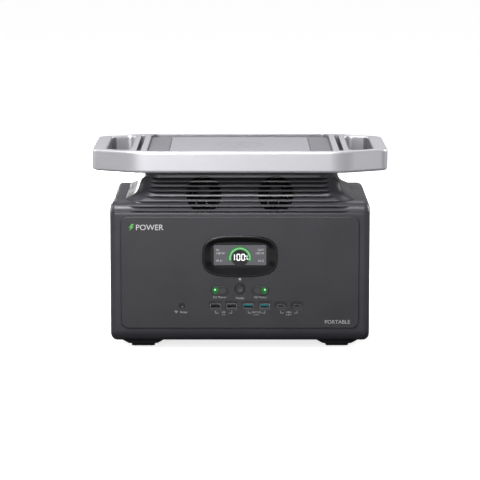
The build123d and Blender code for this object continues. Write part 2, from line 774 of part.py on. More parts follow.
def button(middle, length, height, dish):
    """Push button: cap, flange behind the panel and stem; dish hollows a round cap's face."""
    front = FRONT - BUTTON_PROUD
    with BuildPart() as body:
        with BuildSketch(front_plane(CAP_BACK)):
            with Locations(middle):
                if length > height:
                    SlotOverall(length - 2 * BUTTON_GAP, height - 2 * BUTTON_GAP)
                else:
                    Circle(length / 2)
        extrude(amount=CAP_BACK - front)
        fillet(body.faces().sort_by(Axis.Y)[0].edges(), 0.6)
        with BuildSketch(front_plane(FLANGE_BACK)):
            with Locations(middle):
                if length > height:
                    SlotOverall(length + 2 * FLANGE_OVER, height + 2 * FLANGE_OVER)
                else:
                    Circle(length / 2 + BUTTON_GAP + FLANGE_OVER)
        extrude(amount=FLANGE_BACK - CAP_BACK)
        with BuildSketch(front_plane(STEM_BACK)):
            with Locations(middle):
                Circle(STEM_R)
        extrude(amount=STEM_BACK - FLANGE_BACK)
        if dish > 0:
            with Locations(Location((middle[0], front - dish, middle[1]))):
                Sphere(dish + 0.5, mode=Mode.SUBTRACT)
    return body


display_button = button(DISPLAY_BUTTON, 13.0, 13.0, 18.0)
save(display_button, "display_button")

dc_button = button(PILLS[0], PILL_LENGTH, PILL_HEIGHT, 0)
save(dc_button, "dc_button")

ac_button = button(PILLS[1], PILL_LENGTH, PILL_HEIGHT, 0)
save(ac_button, "ac_button")

reset_button = button(RESET_BUTTON, 2 * RESET_R, 2 * RESET_R, 12.0)
save(reset_button, "reset_button")

# ---- ports -----------------------------------------------------------------------

SHELL_FRONT = FRONT + POCKET_DEPTH - 0.2
SHELL_LENGTH = PORT_BOARD_Y - SHELL_FRONT
USB_A_SHELL = (14.4, 6.6)
USB_A_WALL = 0.5
USB_C_SHELL = (9.2, 3.4)
USB_C_WALL = 0.35

with BuildPart() as usb_a_shells:
    with BuildSketch(front_plane(SHELL_FRONT)):
        for x in USB_A_X + FAST_USB_X:
            with Locations((x, PORT_Z)):
                Rectangle(*USB_A_SHELL)
                Rectangle(
                    USB_A_SHELL[0] - 2 * USB_A_WALL, USB_A_SHELL[1] - 2 * USB_A_WALL, mode=Mode.SUBTRACT
                )
    extrude(amount=-SHELL_LENGTH)
save(usb_a_shells, "usb_a_shells")


def usb_a_tongue(places):
    """Plastic tongues of USB-A sockets with the block that closes each shell."""
    with BuildPart() as tongues:
        with BuildSketch(front_plane(PORT_BOARD_Y)):
            for x in places:
                with Locations((x, PORT_Z)):
                    Rectangle(USB_A_SHELL[0] - 2 * USB_A_WALL, USB_A_SHELL[1] - 2 * USB_A_WALL)
        extrude(amount=PORT_BLOCK)
        with BuildSketch(front_plane(PORT_BOARD_Y - PORT_BLOCK)):
            for x in places:
                with Locations((x, PORT_Z + USB_A_TONGUE_RISE)):
                    Rectangle(*USB_A_TONGUE)
        extrude(amount=SHELL_LENGTH - TONGUE_SHORT)
    return tongues


usb_a_tongues = usb_a_tongue(USB_A_X)
save(usb_a_tongues, "usb_a_tongues")

fast_usb_tongues = usb_a_tongue(FAST_USB_X)
save(fast_usb_tongues, "fast_usb_tongues")

with BuildPart() as usb_c_shells:
    with BuildSketch(front_plane(SHELL_FRONT)):
        for x in USB_C_X:
            with Locations((x, PORT_Z)):
                SlotOverall(*USB_C_SHELL)
                SlotOverall(
                    USB_C_SHELL[0] - 2 * USB_C_WALL,
                    USB_C_SHELL[1] - 2 * USB_C_WALL,
                    mode=Mode.SUBTRACT,
                )
    extrude(amount=-SHELL_LENGTH)
save(usb_c_shells, "usb_c_shells")

with BuildPart() as usb_c_tongues:
    with BuildSketch(front_plane(PORT_BOARD_Y)):
        for x in USB_C_X:
            with Locations((x, PORT_Z)):
                SlotOverall(USB_C_SHELL[0] - 2 * USB_C_WALL, USB_C_SHELL[1] - 2 * USB_C_WALL)
    extrude(amount=PORT_BLOCK)
    with BuildSketch(front_plane(PORT_BOARD_Y - PORT_BLOCK)):
        for x in USB_C_X:
            with Locations((x, PORT_Z)):
                Rectangle(*USB_C_TONGUE)
    extrude(amount=SHELL_LENGTH - TONGUE_SHORT)
save(usb_c_tongues, "usb_c_tongues")

CONTROL_BOARD_Y = -106.0
SWITCH_FRONT = STEM_BACK + BUTTON_TRAVEL + 0.2
PORT_BOARD = (-92.0, 96.0, 46.0, 71.0)

with BuildPart() as port_board:
    with BuildSketch(front_plane(PORT_BOARD_Y)):
        with Locations(((PORT_BOARD[0] + PORT_BOARD[1]) / 2, (PORT_BOARD[2] + PORT_BOARD[3]) / 2)):
            RectangleRounded(PORT_BOARD[1] - PORT_BOARD[0], PORT_BOARD[3] - PORT_BOARD[2], 2)
    extrude(amount=-BOARD)
    with BuildSketch(front_plane(PORT_BOARD_Y + BOARD)):
        with Locations((-60, 58), (-20, 58), (24, 58), (70, 58)):
            Rectangle(16, 14)
    extrude(amount=-6)
save(port_board, "port_board")

CONTROL_BOARD = (120.0, 94.0)
CONTROL_BOARD_Z = 120.0
CONTROL_CHIPS = [(-30.0, 110.0), (22.0, 128.0), (0.0, 150.0)]
CONTROL_CHIP = 14.0
CONTROL_CHIP_THICK = 2.0
SWITCH = 6.0
SWITCH_R = 0.6

with BuildPart() as control_board:
    with BuildSketch(front_plane(CONTROL_BOARD_Y)):
        with Locations((0, CONTROL_BOARD_Z)):
            RectangleRounded(*CONTROL_BOARD, BOARD_R)
    extrude(amount=-BOARD)
    with BuildSketch(front_plane(CONTROL_BOARD_Y + BOARD)):
        with Locations(*CONTROL_CHIPS):
            Rectangle(CONTROL_CHIP, CONTROL_CHIP)
    extrude(amount=-CONTROL_CHIP_THICK)
save(control_board, "control_board")

with BuildPart() as tact_switches:
    with BuildSketch(front_plane(CONTROL_BOARD_Y)):
        with Locations(DISPLAY_BUTTON, *PILLS):
            RectangleRounded(SWITCH, SWITCH, SWITCH_R)
    extrude(amount=CONTROL_BOARD_Y - SWITCH_FRONT)
    with BuildSketch(front_plane(PORT_BOARD_Y)):
        with Locations(RESET_BUTTON):
            RectangleRounded(SWITCH, SWITCH, SWITCH_R)
    extrude(amount=PORT_BOARD_Y - SWITCH_FRONT)
save(tact_switches, "tact_switches")

# ---- battery ------------------------------------------------------------------------

CELL_GRID = (CELL_PITCH, CELL_PITCH, CELL_COLUMNS, CELL_ROWS)

with BuildPart() as battery_cells:
    with BuildSketch(Plane.XY.offset(CELL_LOW_Z)):
        with GridLocations(*CELL_GRID):
            Circle(CELL_R)
    extrude(amount=CELL_LENGTH)
    fillet(battery_cells.edges().filter_by(GeomType.CIRCLE), 1.0)
save(battery_cells, "battery_cells")

with BuildPart() as lower_cell_holder:
    with BuildSketch(Plane.XY.offset(CELL_LOW_Z)):
        RectangleRounded(2 * HOLDER_HALF_X, 2 * HOLDER_HALF_Y, 6)
        with GridLocations(*CELL_GRID):
            Circle(CELL_R + POCKET_GAP, mode=Mode.SUBTRACT)
    extrude(amount=HOLDER_THICK)
    with BuildSketch(Plane.XY.offset(FLOOR_TOP)):
        RectangleRounded(2 * HOLDER_HALF_X, 2 * HOLDER_HALF_Y, 6)
        Rectangle(2 * HOLDER_HALF_X - 6, 2 * HOLDER_HALF_Y - 6, mode=Mode.SUBTRACT)
    extrude(amount=CELL_LOW_Z - FLOOR_TOP)
save(lower_cell_holder, "lower_cell_holder")

with BuildPart() as upper_cell_holder:
    with BuildSketch(Plane.XY.offset(CELL_HIGH_Z - HOLDER_THICK)):
        RectangleRounded(2 * HOLDER_HALF_X, 2 * HOLDER_HALF_Y, 6)
        with GridLocations(*CELL_GRID):
            Circle(CELL_R + POCKET_GAP, mode=Mode.SUBTRACT)
    extrude(amount=HOLDER_THICK)
    with BuildSketch(Plane.XY.offset(CELL_HIGH_Z)):
        with GridLocations(2 * HOLDER_HALF_X - 8, 2 * HOLDER_HALF_Y - 8, 2, 2):
            Circle(2.5)
    extrude(amount=INVERTER_Z - CELL_HIGH_Z)
save(upper_cell_holder, "upper_cell_holder")

SQUARE_BAR = 2 * CELL_PITCH - 8

with BuildPart() as busbars:
    with BuildSketch(Plane.XY.offset(CELL_HIGH_Z)):
        with GridLocations(2 * CELL_PITCH, 2 * CELL_PITCH, CELL_COLUMNS // 2, CELL_ROWS // 2):
            RectangleRounded(SQUARE_BAR, SQUARE_BAR, 4)
    extrude(amount=BUSBAR)
    with BuildSketch(Plane.XY.offset(CELL_LOW_Z - BUSBAR)):
        with GridLocations(2 * CELL_PITCH, 2 * CELL_PITCH, CELL_COLUMNS // 2 - 1, CELL_ROWS // 2):
            RectangleRounded(SQUARE_BAR, SQUARE_BAR, 4)
        with GridLocations((CELL_COLUMNS - 1) * CELL_PITCH, 2 * CELL_PITCH, 2, 2):
            RectangleRounded(SQUARE_BAR - CELL_PITCH, SQUARE_BAR, 4)
    extrude(amount=BUSBAR)
save(busbars, "busbars")

BMS_X = 152.0
BMS_LOW_Z = 30.0
BMS_HIGH_Z = 150.0
BMS_WIDE = 120.0
BIG_BOARD_R = 4.0
INVERTER = (284.0, 148.0)

with BuildPart() as bms_board:
    with BuildSketch(Plane.YZ.offset(BMS_X)):
        with Locations((0, (BMS_LOW_Z + BMS_HIGH_Z) / 2)):
            RectangleRounded(BMS_WIDE, BMS_HIGH_Z - BMS_LOW_Z, BIG_BOARD_R)
    extrude(amount=BOARD)
    with BuildSketch(Plane.YZ.offset(BMS_X + BOARD)):
        with Locations((0, 70)):
            with GridLocations(24, 18, 4, 2):
                Rectangle(10, 12)
    extrude(amount=4)
save(bms_board, "bms_board")

CABLE_R = 3.0
CABLE_TOP_Z = 190.0
CABLE_X = (BMS_X + BOARD / 2, 130.0)
CABLE_BEND_R = 9.0

with BuildPart() as battery_cables:
    for y in (-20, 20):
        with BuildLine() as route:
            FilletPolyline(
                (CABLE_X[0], y, BMS_HIGH_Z),
                (CABLE_X[0], y, CABLE_TOP_Z),
                (CABLE_X[1], y, CABLE_TOP_Z),
                (CABLE_X[1], y, INVERTER_Z + BOARD),
                radius=CABLE_BEND_R,
            )
        with BuildSketch(Plane(origin=(CABLE_X[0], y, BMS_HIGH_Z), z_dir=(0, 0, 1))):
            Circle(CABLE_R)
        sweep(path=route.line)
save(battery_cables, "battery_cables")

# ---- inverter -------------------------------------------------------------------------

with BuildPart() as inverter_board:
    with BuildSketch(Plane.XY.offset(INVERTER_Z)):
        RectangleRounded(*INVERTER, BIG_BOARD_R)
    extrude(amount=BOARD)
save(inverter_board, "inverter_board")

HEATSINK = (60.0, 96.0)
FIN_COUNT = 9
FIN_HIGH = 30.0
HEATSINK_X = 70.0

with BuildPart() as heatsinks:
    for side in (-1, 1):
        with BuildSketch(Plane.XY.offset(INVERTER_Z + BOARD)):
            with Locations((side * HEATSINK_X, 4)):
                Rectangle(*HEATSINK)
        extrude(amount=4)
        with BuildSketch(Plane.XY.offset(INVERTER_Z + BOARD + 4)):
            with Locations((side * HEATSINK_X, 4)):
                with GridLocations((HEATSINK[0] - 2) / (FIN_COUNT - 1), 0, FIN_COUNT, 1):
                    Rectangle(2, HEATSINK[1])
        extrude(amount=FIN_HIGH)
save(heatsinks, "heatsinks")

CORE = (46.0, 36.0)
CORE_DEPTH = 40.0
CORE_WINDOW = (28.0, 20.0)
CORE_MID_Z = INVERTER_Z + BOARD + CORE[1] / 2

with BuildPart() as transformer_core:
    with BuildSketch(Plane.XZ):
        with Locations((0, CORE_MID_Z)):
            Rectangle(*CORE)
            Rectangle(*CORE_WINDOW, mode=Mode.SUBTRACT)
    extrude(amount=CORE_DEPTH / 2, both=True)
save(transformer_core, "transformer_core")

WINDING_R = 3.0
WINDING_OVER = 9.0

with BuildPart() as transformer_winding:
    with BuildSketch(Plane.XZ):
        with Locations((0, CORE_MID_Z)):
            RectangleRounded(CORE_WINDOW[0] - 2 * POCKET_GAP, CORE_WINDOW[1] - 2 * POCKET_GAP, WINDING_R)
    extrude(amount=CORE_DEPTH / 2 + WINDING_OVER, both=True)
save(transformer_winding, "transformer_winding")

CAPACITOR_R = 9.0
CAPACITOR_X = 118.0

with BuildPart() as capacitors:
    with BuildSketch(Plane.XY.offset(INVERTER_Z + BOARD)):
        for side in (-1, 1):
            with Locations(*[(side * CAPACITOR_X, y) for y in (-44, 0, 44)]):
                Circle(CAPACITOR_R)
    extrude(amount=30)
    fillet(capacitors.faces().group_by(Axis.Z)[-1].edges(), 1.2)
save(capacitors, "capacitors")

# ---- cooling fans ------------------------------------------------------------------------

FAN_BORE_R = 23.4
FAN_HUB_R = 10.0
FAN_BLADE_R = 22.4
FAN_BLADES = 7
SHAFT_R = 1.5
BEARING_R = 1.55
FAN_BACK_Y = FAN_FRONT_Y + FAN_DEPTH


def fan_frame(x):
    """Square fan frame with four struts that hold the bearing plate at its back."""
    with BuildPart() as frame:
        with BuildSketch(front_plane(FAN_BACK_Y)):
            with Locations((x, FAN_Z)):
                RectangleRounded(FAN_SIZE, FAN_SIZE, 3)
                Circle(FAN_BORE_R, mode=Mode.SUBTRACT)
                with GridLocations(40, 40, 2, 2):
                    Circle(2.1, mode=Mode.SUBTRACT)
        extrude(amount=FAN_DEPTH)
        with BuildSketch(front_plane(FAN_BACK_Y)):
            with Locations((x, FAN_Z)):
                Circle(FAN_HUB_R)
                Rectangle(2 * FAN_BORE_R + FAN_SPOKE_OVER, FAN_SPOKE)
                Rectangle(FAN_SPOKE, 2 * FAN_BORE_R + FAN_SPOKE_OVER)
                Circle(BEARING_R, mode=Mode.SUBTRACT)
        extrude(amount=3)
    return frame


def fan_rotor(x):
    """Seven-bladed rotor on a short shaft, front face flush inside its frame."""
    with BuildPart(Plane(origin=(x, FAN_FRONT_Y + 6, FAN_Z), x_dir=(1, 0, 0), z_dir=(0, -1, 0))) as rotor:
        Cylinder(FAN_HUB_R, HUB_LENGTH)
        fillet(rotor.faces().sort_by(Axis.Y)[0].edges(), 1.0)
        with PolarLocations(0, FAN_BLADES):
            Box(
                FAN_BLADE_R,
                BLADE_CHORD,
                BLADE_THICK,
                rotation=(BLADE_ANGLE, 0, 0),
                align=(Align.MIN, Align.CENTER, Align.CENTER),
            )
        with Locations((0, 0, -SHAFT_MID)):
            Cylinder(SHAFT_R, SHAFT_LENGTH)
    return rotor


fan_frame_left = fan_frame(-FAN_X)
save(fan_frame_left, "fan_frame_left")

fan_frame_right = fan_frame(FAN_X)
save(fan_frame_right, "fan_frame_right")

fan_rotor_left = fan_rotor(-FAN_X)
save(fan_rotor_left, "fan_rotor_left")

fan_rotor_right = fan_rotor(FAN_X)
save(fan_rotor_right, "fan_rotor_right")

# ---- rear sockets --------------------------------------------------------------------------

REAR_PROUD = REAR + 0.6
BLADE_SLOT = (2.4, 9.0)
BLADE_SLOT_X = 6.35
GROUND_DROP = 10.0
SLOT_DEEP = 20.0
BLADE_SLOTS = [(x + side * BLADE_SLOT_X, z + 3) for x, z in OUTLET_PLACES for side in (-1, 1)]
GROUND_HOLES = [(x, z + 3 - GROUND_DROP) for x, z in OUTLET_PLACES]

GROUND_R = 2.6
CONTACT_GROUND = 0.4
CONTACT_THICK = 0.5
CONTACT_LONG = 10.0
OUTLET_FACE = 8.0
OUTLET_BACK = 17.0
OUTLET_STEP = 6.0

with BuildPart() as ac_outlets:
    with BuildSketch(front_plane(REAR_PROUD)):
        with Locations(*OUTLET_PLACES):
            RectangleRounded(*OUTLET, OUTLET_R)
    extrude(amount=OUTLET_FACE)
    chamfer(ac_outlets.faces().group_by(Axis.Y)[-1].edges(), 0.5)
    with BuildSketch(front_plane(REAR_PROUD - OUTLET_FACE)):
        with Locations(*OUTLET_PLACES):
            RectangleRounded(OUTLET[0] - OUTLET_STEP, OUTLET[1] - OUTLET_STEP, INLET_R)
    extrude(amount=OUTLET_BACK)
    with BuildSketch(front_plane(REAR_PROUD)):
        with Locations(*BLADE_SLOTS):
            Rectangle(*BLADE_SLOT)
        with Locations(*GROUND_HOLES):
            Circle(GROUND_R)
    extrude(amount=SLOT_DEEP, mode=Mode.SUBTRACT)
save(ac_outlets, "ac_outlets")

with BuildPart() as outlet_contacts:
    with BuildSketch(front_plane(REAR_PROUD - SLOT_DEEP + CONTACT_LONG)):
        with Locations(*BLADE_SLOTS):
            with Locations(((CONTACT_THICK - BLADE_SLOT[0]) / 2, 0)):
                Rectangle(CONTACT_THICK, BLADE_SLOT[1])
        with Locations(*GROUND_HOLES):
            Circle(GROUND_R)
            Circle(GROUND_R - CONTACT_GROUND, mode=Mode.SUBTRACT)
    extrude(amount=CONTACT_LONG)
save(outlet_contacts, "outlet_contacts")

INLET_CAVITY = (25.0, 17.0)
INLET_BACK = 100.0
INLET_FLOOR = 104.0
PIN_PLACES = [(-7.0, -3.0), (0.0, 1.5), (7.0, -3.0)]

with BuildPart() as ac_inlet:
    with BuildSketch(front_plane(REAR_PROUD)):
        with Locations(INLET):
            RectangleRounded(*INLET_SIZE, INLET_R)
    extrude(amount=6)
    with BuildSketch(front_plane(REAR_PROUD - 6)):
        with Locations(INLET):
            Rectangle(31, 22)
    extrude(amount=REAR_PROUD - 6 - INLET_BACK)
    with BuildSketch(front_plane(REAR_PROUD)) as cavity:
        with Locations(INLET):
            Rectangle(*INLET_CAVITY)
        chamfer(cavity.vertices().group_by(Axis.Y)[-1], 4)
    extrude(amount=REAR_PROUD - INLET_FLOOR, mode=Mode.SUBTRACT)
save(ac_inlet, "ac_inlet")

SOLAR_CAVITY = (16.0, 8.4)
SOLAR_PINS = [(SOLAR[0] + side * 3.6, SOLAR[1]) for side in (-1, 1)]
JACK_BORE_R = 2.8
SOCKET_BORE_R = 10.6
SOCKET_OUTER_R = 13.0
SOCKET_BACK = 84.0
SOCKET_FLOOR = 88.0
SOCKET_FLANGE_FACE = REAR_INNER + 1.0

with BuildPart() as solar_input:
    with BuildSketch(front_plane(REAR_PROUD)):
        with Locations(SOLAR):
            RectangleRounded(*SOLAR_SIZE, INLET_R)
    extrude(amount=20)
    with BuildSketch(front_plane(REAR_PROUD)):
        with Locations(SOLAR):
            SlotOverall(*SOLAR_CAVITY)
    extrude(amount=16, mode=Mode.SUBTRACT)
save(solar_input, "solar_input")

with BuildPart() as dc_jacks:
    with BuildSketch(front_plane(REAR_PROUD)):
        with Locations(*JACK_PLACES):
            Circle(JACK_R)
    extrude(amount=16)
    with BuildSketch(front_plane(REAR_PROUD)):
        with Locations(*JACK_PLACES):
            Circle(JACK_BORE_R)
    extrude(amount=11, mode=Mode.SUBTRACT)
save(dc_jacks, "dc_jacks")

with BuildPart() as socket_pins:
    with BuildSketch(front_plane(INLET_FLOOR)):
        with Locations(INLET):
            with Locations(*PIN_PLACES):
                Rectangle(2, 4)
    extrude(amount=-14)
    with BuildSketch(front_plane(REAR_PROUD - 16)):
        with Locations(*SOLAR_PINS):
            Circle(2.0)
    extrude(amount=-12)
    with BuildSketch(front_plane(REAR_PROUD - 11)):
        with Locations(*JACK_PLACES):
            Circle(1.05)
    extrude(amount=-9)
    with BuildSketch(front_plane(SOCKET_FLOOR)):
        with Locations(CAR_SOCKET):
            Circle(3)
    extrude(amount=-2)
save(socket_pins, "socket_pins")

# ---- car socket with its hinged cover ---------------------------------------------------------

HINGE_Z = CAR_SOCKET[1] + 19.0
HINGE_Y = REAR - 1.5
BARREL_R = 1.6
COVER_R = 15.0
COVER_BACK = REAR - 2.0
COVER_THICK = 2.2
EAR_X = 7.0
EAR_WIDE = 3.0
PIN_R = 0.8
PIN_RUNNING = 0.06

with BuildPart() as car_socket:
    with BuildSketch(front_plane(SOCKET_FLANGE_FACE)):
        with Locations(SOCKET_POCKET_MID):
            RectangleRounded(*SOCKET_POCKET, SOCKET_POCKET_R)
    extrude(amount=4)
    with BuildSketch(front_plane(SOCKET_FLANGE_FACE)):
        with Locations(CAR_SOCKET):
            Circle(SOCKET_OUTER_R)
    extrude(amount=SOCKET_FLANGE_FACE - SOCKET_BACK)
    with BuildSketch(front_plane(SOCKET_FLANGE_FACE)):
        with Locations(CAR_SOCKET):
            Circle(SOCKET_BORE_R)
    extrude(amount=SOCKET_FLANGE_FACE - SOCKET_FLOOR, mode=Mode.SUBTRACT)
    for side in (-1, 1):
        with BuildSketch(Plane.YZ.offset(CAR_SOCKET[0] + side * EAR_X - EAR_WIDE / 2)):
            with Locations((HINGE_Y, HINGE_Z)):
                Circle(BARREL_R)
            with Locations(((SOCKET_FLANGE_FACE + HINGE_Y) / 2, HINGE_Z)):
                Rectangle(HINGE_Y - SOCKET_FLANGE_FACE, 2 * BARREL_R)
            with Locations((HINGE_Y, HINGE_Z)):
                Circle(PIN_R, mode=Mode.SUBTRACT)
        extrude(amount=EAR_WIDE)
save(car_socket, "car_socket")

BARREL_HALF = EAR_X - EAR_WIDE / 2 - 0.3

with BuildPart() as car_socket_cover:
    with BuildSketch(front_plane(COVER_BACK + COVER_THICK)):
        with Locations(CAR_SOCKET):
            Circle(COVER_R)
        with Locations((CAR_SOCKET[0], (CAR_SOCKET[1] + HINGE_Z) / 2)):
            Rectangle(2 * BARREL_HALF, HINGE_Z - CAR_SOCKET[1])
        with Locations((CAR_SOCKET[0], CAR_SOCKET[1] - COVER_R)):
            RectangleRounded(9, 5, 1.5)
    extrude(amount=COVER_THICK)
    with BuildSketch(Plane.YZ.offset(CAR_SOCKET[0] - BARREL_HALF)):
        with Locations((HINGE_Y, HINGE_Z)):
            Circle(BARREL_R)
    extrude(amount=2 * BARREL_HALF)
    with BuildSketch(Plane.YZ.offset(CAR_SOCKET[0] - BARREL_HALF)):
        with Locations((HINGE_Y, HINGE_Z)):
            Circle(PIN_R + PIN_RUNNING)
    extrude(amount=2 * BARREL_HALF, mode=Mode.SUBTRACT)
save(car_socket_cover, "car_socket_cover")

with BuildPart() as cover_pin:
    with BuildSketch(Plane.YZ.offset(CAR_SOCKET[0] - EAR_X - EAR_WIDE / 2)):
        with Locations((HINGE_Y, HINGE_Z)):
            Circle(PIN_R)
    extrude(amount=2 * EAR_X + EAR_WIDE)
save(cover_pin, "cover_pin")

BREAKER_FLANGE_Y = REAR_INNER - PANEL_FLANGE_THICK - BUTTON_SEAT_GAP
BREAKER_FRONT = REAR + 0.5
BREAKER_FLANGE_OVER = 1.5

with BuildPart() as breaker_button:
    with BuildSketch(front_plane(BREAKER_FRONT)):
        with Locations(BREAKER):
            Circle(BREAKER_R)
    extrude(amount=BREAKER_FRONT - BREAKER_FLANGE_Y)
    with BuildSketch(front_plane(BREAKER_FLANGE_Y)):
        with Locations(BREAKER):
            Circle(BREAKER_R + BREAKER_FLANGE_OVER)
    extrude(amount=BREAKER_FLANGE_OVER)
    fillet(breaker_button.faces().sort_by(Axis.Y)[-1].edges(), 0.8)
save(breaker_button, "breaker_button")
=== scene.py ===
import bmesh
import bpy
import json
from math import cos, pi, radians, sin
from mathutils import Matrix, Vector


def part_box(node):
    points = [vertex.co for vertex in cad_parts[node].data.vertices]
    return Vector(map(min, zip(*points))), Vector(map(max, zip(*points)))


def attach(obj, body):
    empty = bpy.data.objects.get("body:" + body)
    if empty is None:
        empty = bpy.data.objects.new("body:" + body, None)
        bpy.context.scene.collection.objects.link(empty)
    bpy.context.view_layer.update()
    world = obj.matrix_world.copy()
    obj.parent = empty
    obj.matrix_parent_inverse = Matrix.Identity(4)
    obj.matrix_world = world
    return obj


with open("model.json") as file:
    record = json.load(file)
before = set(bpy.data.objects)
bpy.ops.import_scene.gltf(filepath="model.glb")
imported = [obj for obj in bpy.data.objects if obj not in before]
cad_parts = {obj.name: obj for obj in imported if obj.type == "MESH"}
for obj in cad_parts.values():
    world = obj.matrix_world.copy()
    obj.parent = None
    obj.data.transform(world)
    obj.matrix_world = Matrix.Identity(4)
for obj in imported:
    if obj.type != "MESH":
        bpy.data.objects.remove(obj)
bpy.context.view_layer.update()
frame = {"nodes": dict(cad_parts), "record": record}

# Everything is in metres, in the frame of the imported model: +Z up, front towards -Y.

MM = 0.001
NODES = frame["nodes"]

# ---- camera ------------------------------------------------------------------

CAMERA_PLACE = Vector((0.0, -3.52, 0.68))
CAMERA_TARGET = Vector((0.0, 0.0, 0.1385))
CAMERA_LENS = 183.0
CAMERA_SENSOR = 36.0
CAMERA_REACH = 50.0


def make_camera():
    data = bpy.data.cameras.new("camera")
    data.lens = CAMERA_LENS
    data.sensor_width = CAMERA_SENSOR
    data.clip_end = CAMERA_REACH
    camera = bpy.data.objects.new("camera", data)
    bpy.context.scene.collection.objects.link(camera)
    camera.location = CAMERA_PLACE
    camera.rotation_euler = (CAMERA_TARGET - CAMERA_PLACE).to_track_quat("-Z", "Y").to_euler()
    bpy.context.scene.camera = camera


# ---- material helpers ----------------------------------------------------------

EDGE_SOFTNESS = 0.5 * MM
EDGE_BAND = (0.80, 0.97)
NOISE_BAND = (0.3, 0.7)
HOLLOW_BAND = (0.4, 0.95)
HOLLOW_SAMPLES = 8


class Shader:
    """A small builder for one node material around a Principled shader."""

    def __init__(self, name):
        self.material = bpy.data.materials.new(name)
        self.material.use_nodes = True
        self.tree = self.material.node_tree
        self.principled = self.tree.nodes["Principled BSDF"]
        self.place = self.tree.nodes.new("ShaderNodeTexCoord").outputs["Object"]

    def node(self, kind, **inputs):
        made = self.tree.nodes.new(kind)
        for key, value in inputs.items():
            self.put(made.inputs[key.replace("_", " ")], value)
        return made

    def put(self, socket, value):
        """Feeds an input with another node's output or with a plain value."""
        if isinstance(value, bpy.types.NodeSocket):
            self.tree.links.new(value, socket)
        else:
            socket.default_value = value

    def noise(self, scale, detail=3.0, roughness=0.55, place=None):
        made = self.node("ShaderNodeTexNoise", Scale=scale, Detail=detail, Roughness=roughness)
        self.put(made.inputs["Vector"], place or self.place)
        return made.outputs["Fac"]

    def voronoi(self, scale, feature="F1"):
        made = self.node("ShaderNodeTexVoronoi", Scale=scale)
        made.feature = feature
        self.put(made.inputs["Vector"], self.place)
        return made.outputs["Distance"]

    def stretched(self, scale):
        """Object place stretched per axis, for brushed or drawn marks."""
        made = self.node("ShaderNodeMapping")
        made.inputs["Scale"].default_value = scale
        self.put(made.inputs["Vector"], self.place)
        return made.outputs["Vector"]

    def spread(self, value, low, high, from_low=NOISE_BAND[0], from_high=NOISE_BAND[1]):
        """value remapped from the band it usually lies in to low..high."""
        made = self.node("ShaderNodeMapRange")
        self.put(made.inputs["Value"], value)
        made.inputs["From Min"].default_value = from_low
        made.inputs["From Max"].default_value = from_high
        made.inputs["To Min"].default_value = low
        made.inputs["To Max"].default_value = high
        return made.outputs["Result"]

    def math(self, operation, first, second=0.5):
        made = self.tree.nodes.new("ShaderNodeMath")
        made.operation = operation
        self.put(made.inputs[0], first)
        self.put(made.inputs[1], second)
        return made.outputs[0]

    def mix(self, factor, first, second):
        made = self.tree.nodes.new("ShaderNodeMix")
        made.data_type = "RGBA"
        self.put(made.inputs[0], factor)
        self.put(made.inputs[6], first)
        self.put(made.inputs[7], second)
        return made.outputs[2]

    def inside(self, half_x, half_y, top):
        """1 inside an upright box about the origin and below top, 0 outside it."""
        axes = self.node("ShaderNodeSeparateXYZ", Vector=self.place)
        within = self.math("LESS_THAN", axes.outputs["Z"], top)
        for name, half in (("X", half_x), ("Y", half_y)):
            side = self.math("LESS_THAN", self.math("ABSOLUTE", axes.outputs[name]), half)
            within = self.math("MULTIPLY", within, side)
        return within

    def hollows(self, reach):
        """1 deep in grooves and slots narrower than reach, 0 on open faces: the mask for painted
        shade.
        """
        made = self.node("ShaderNodeAmbientOcclusion", Distance=reach)
        made.samples = HOLLOW_SAMPLES
        return self.spread(made.outputs["AO"], 1.0, 0.0, *HOLLOW_BAND)

    def soft_normal(self):
        """The surface normal, rounded over close to each sharp edge."""
        return self.node("ShaderNodeBevel", Radius=EDGE_SOFTNESS).outputs["Normal"]

    def edges(self, soft):
        """1 on sharp edges, 0 elsewhere: how far the rounded normal leaves the true one."""
        flat = self.tree.nodes.new("ShaderNodeNewGeometry").outputs["True Normal"]
        dot = self.tree.nodes.new("ShaderNodeVectorMath")
        dot.operation = "DOT_PRODUCT"
        self.put(dot.inputs[0], soft)
        self.put(dot.inputs[1], flat)
        return self.spread(dot.outputs["Value"], 1.0, 0.0, *EDGE_BAND)

    def bump(self, height, strength, distance, normal=None):
        made = self.node("ShaderNodeBump", Strength=strength, Distance=distance, Height=height)
        if normal is not None:
            self.put(made.inputs["Normal"], normal)
        return made.outputs["Normal"]

    def set(self, **inputs):
        for key, value in inputs.items():
            self.put(self.principled.inputs[key.replace("_", " ")], value)


def grey(value, tint=0.0):
    """A neutral colour, a little blue when tint is above 0."""
    return (value, value * (1 - tint * 0.3), value * (1 + tint), 1.0)


def shade(colour, factor):
    """The colour made brighter or darker by factor, no channel past 1."""
    return tuple(min(1.0, c * factor) for c in colour[:3]) + (1.0,)


GROOVE_REACH = 7.0 * MM
GROOVE_PAINTED_SHADE = 0.1
GROOVE_DULL = 0.35


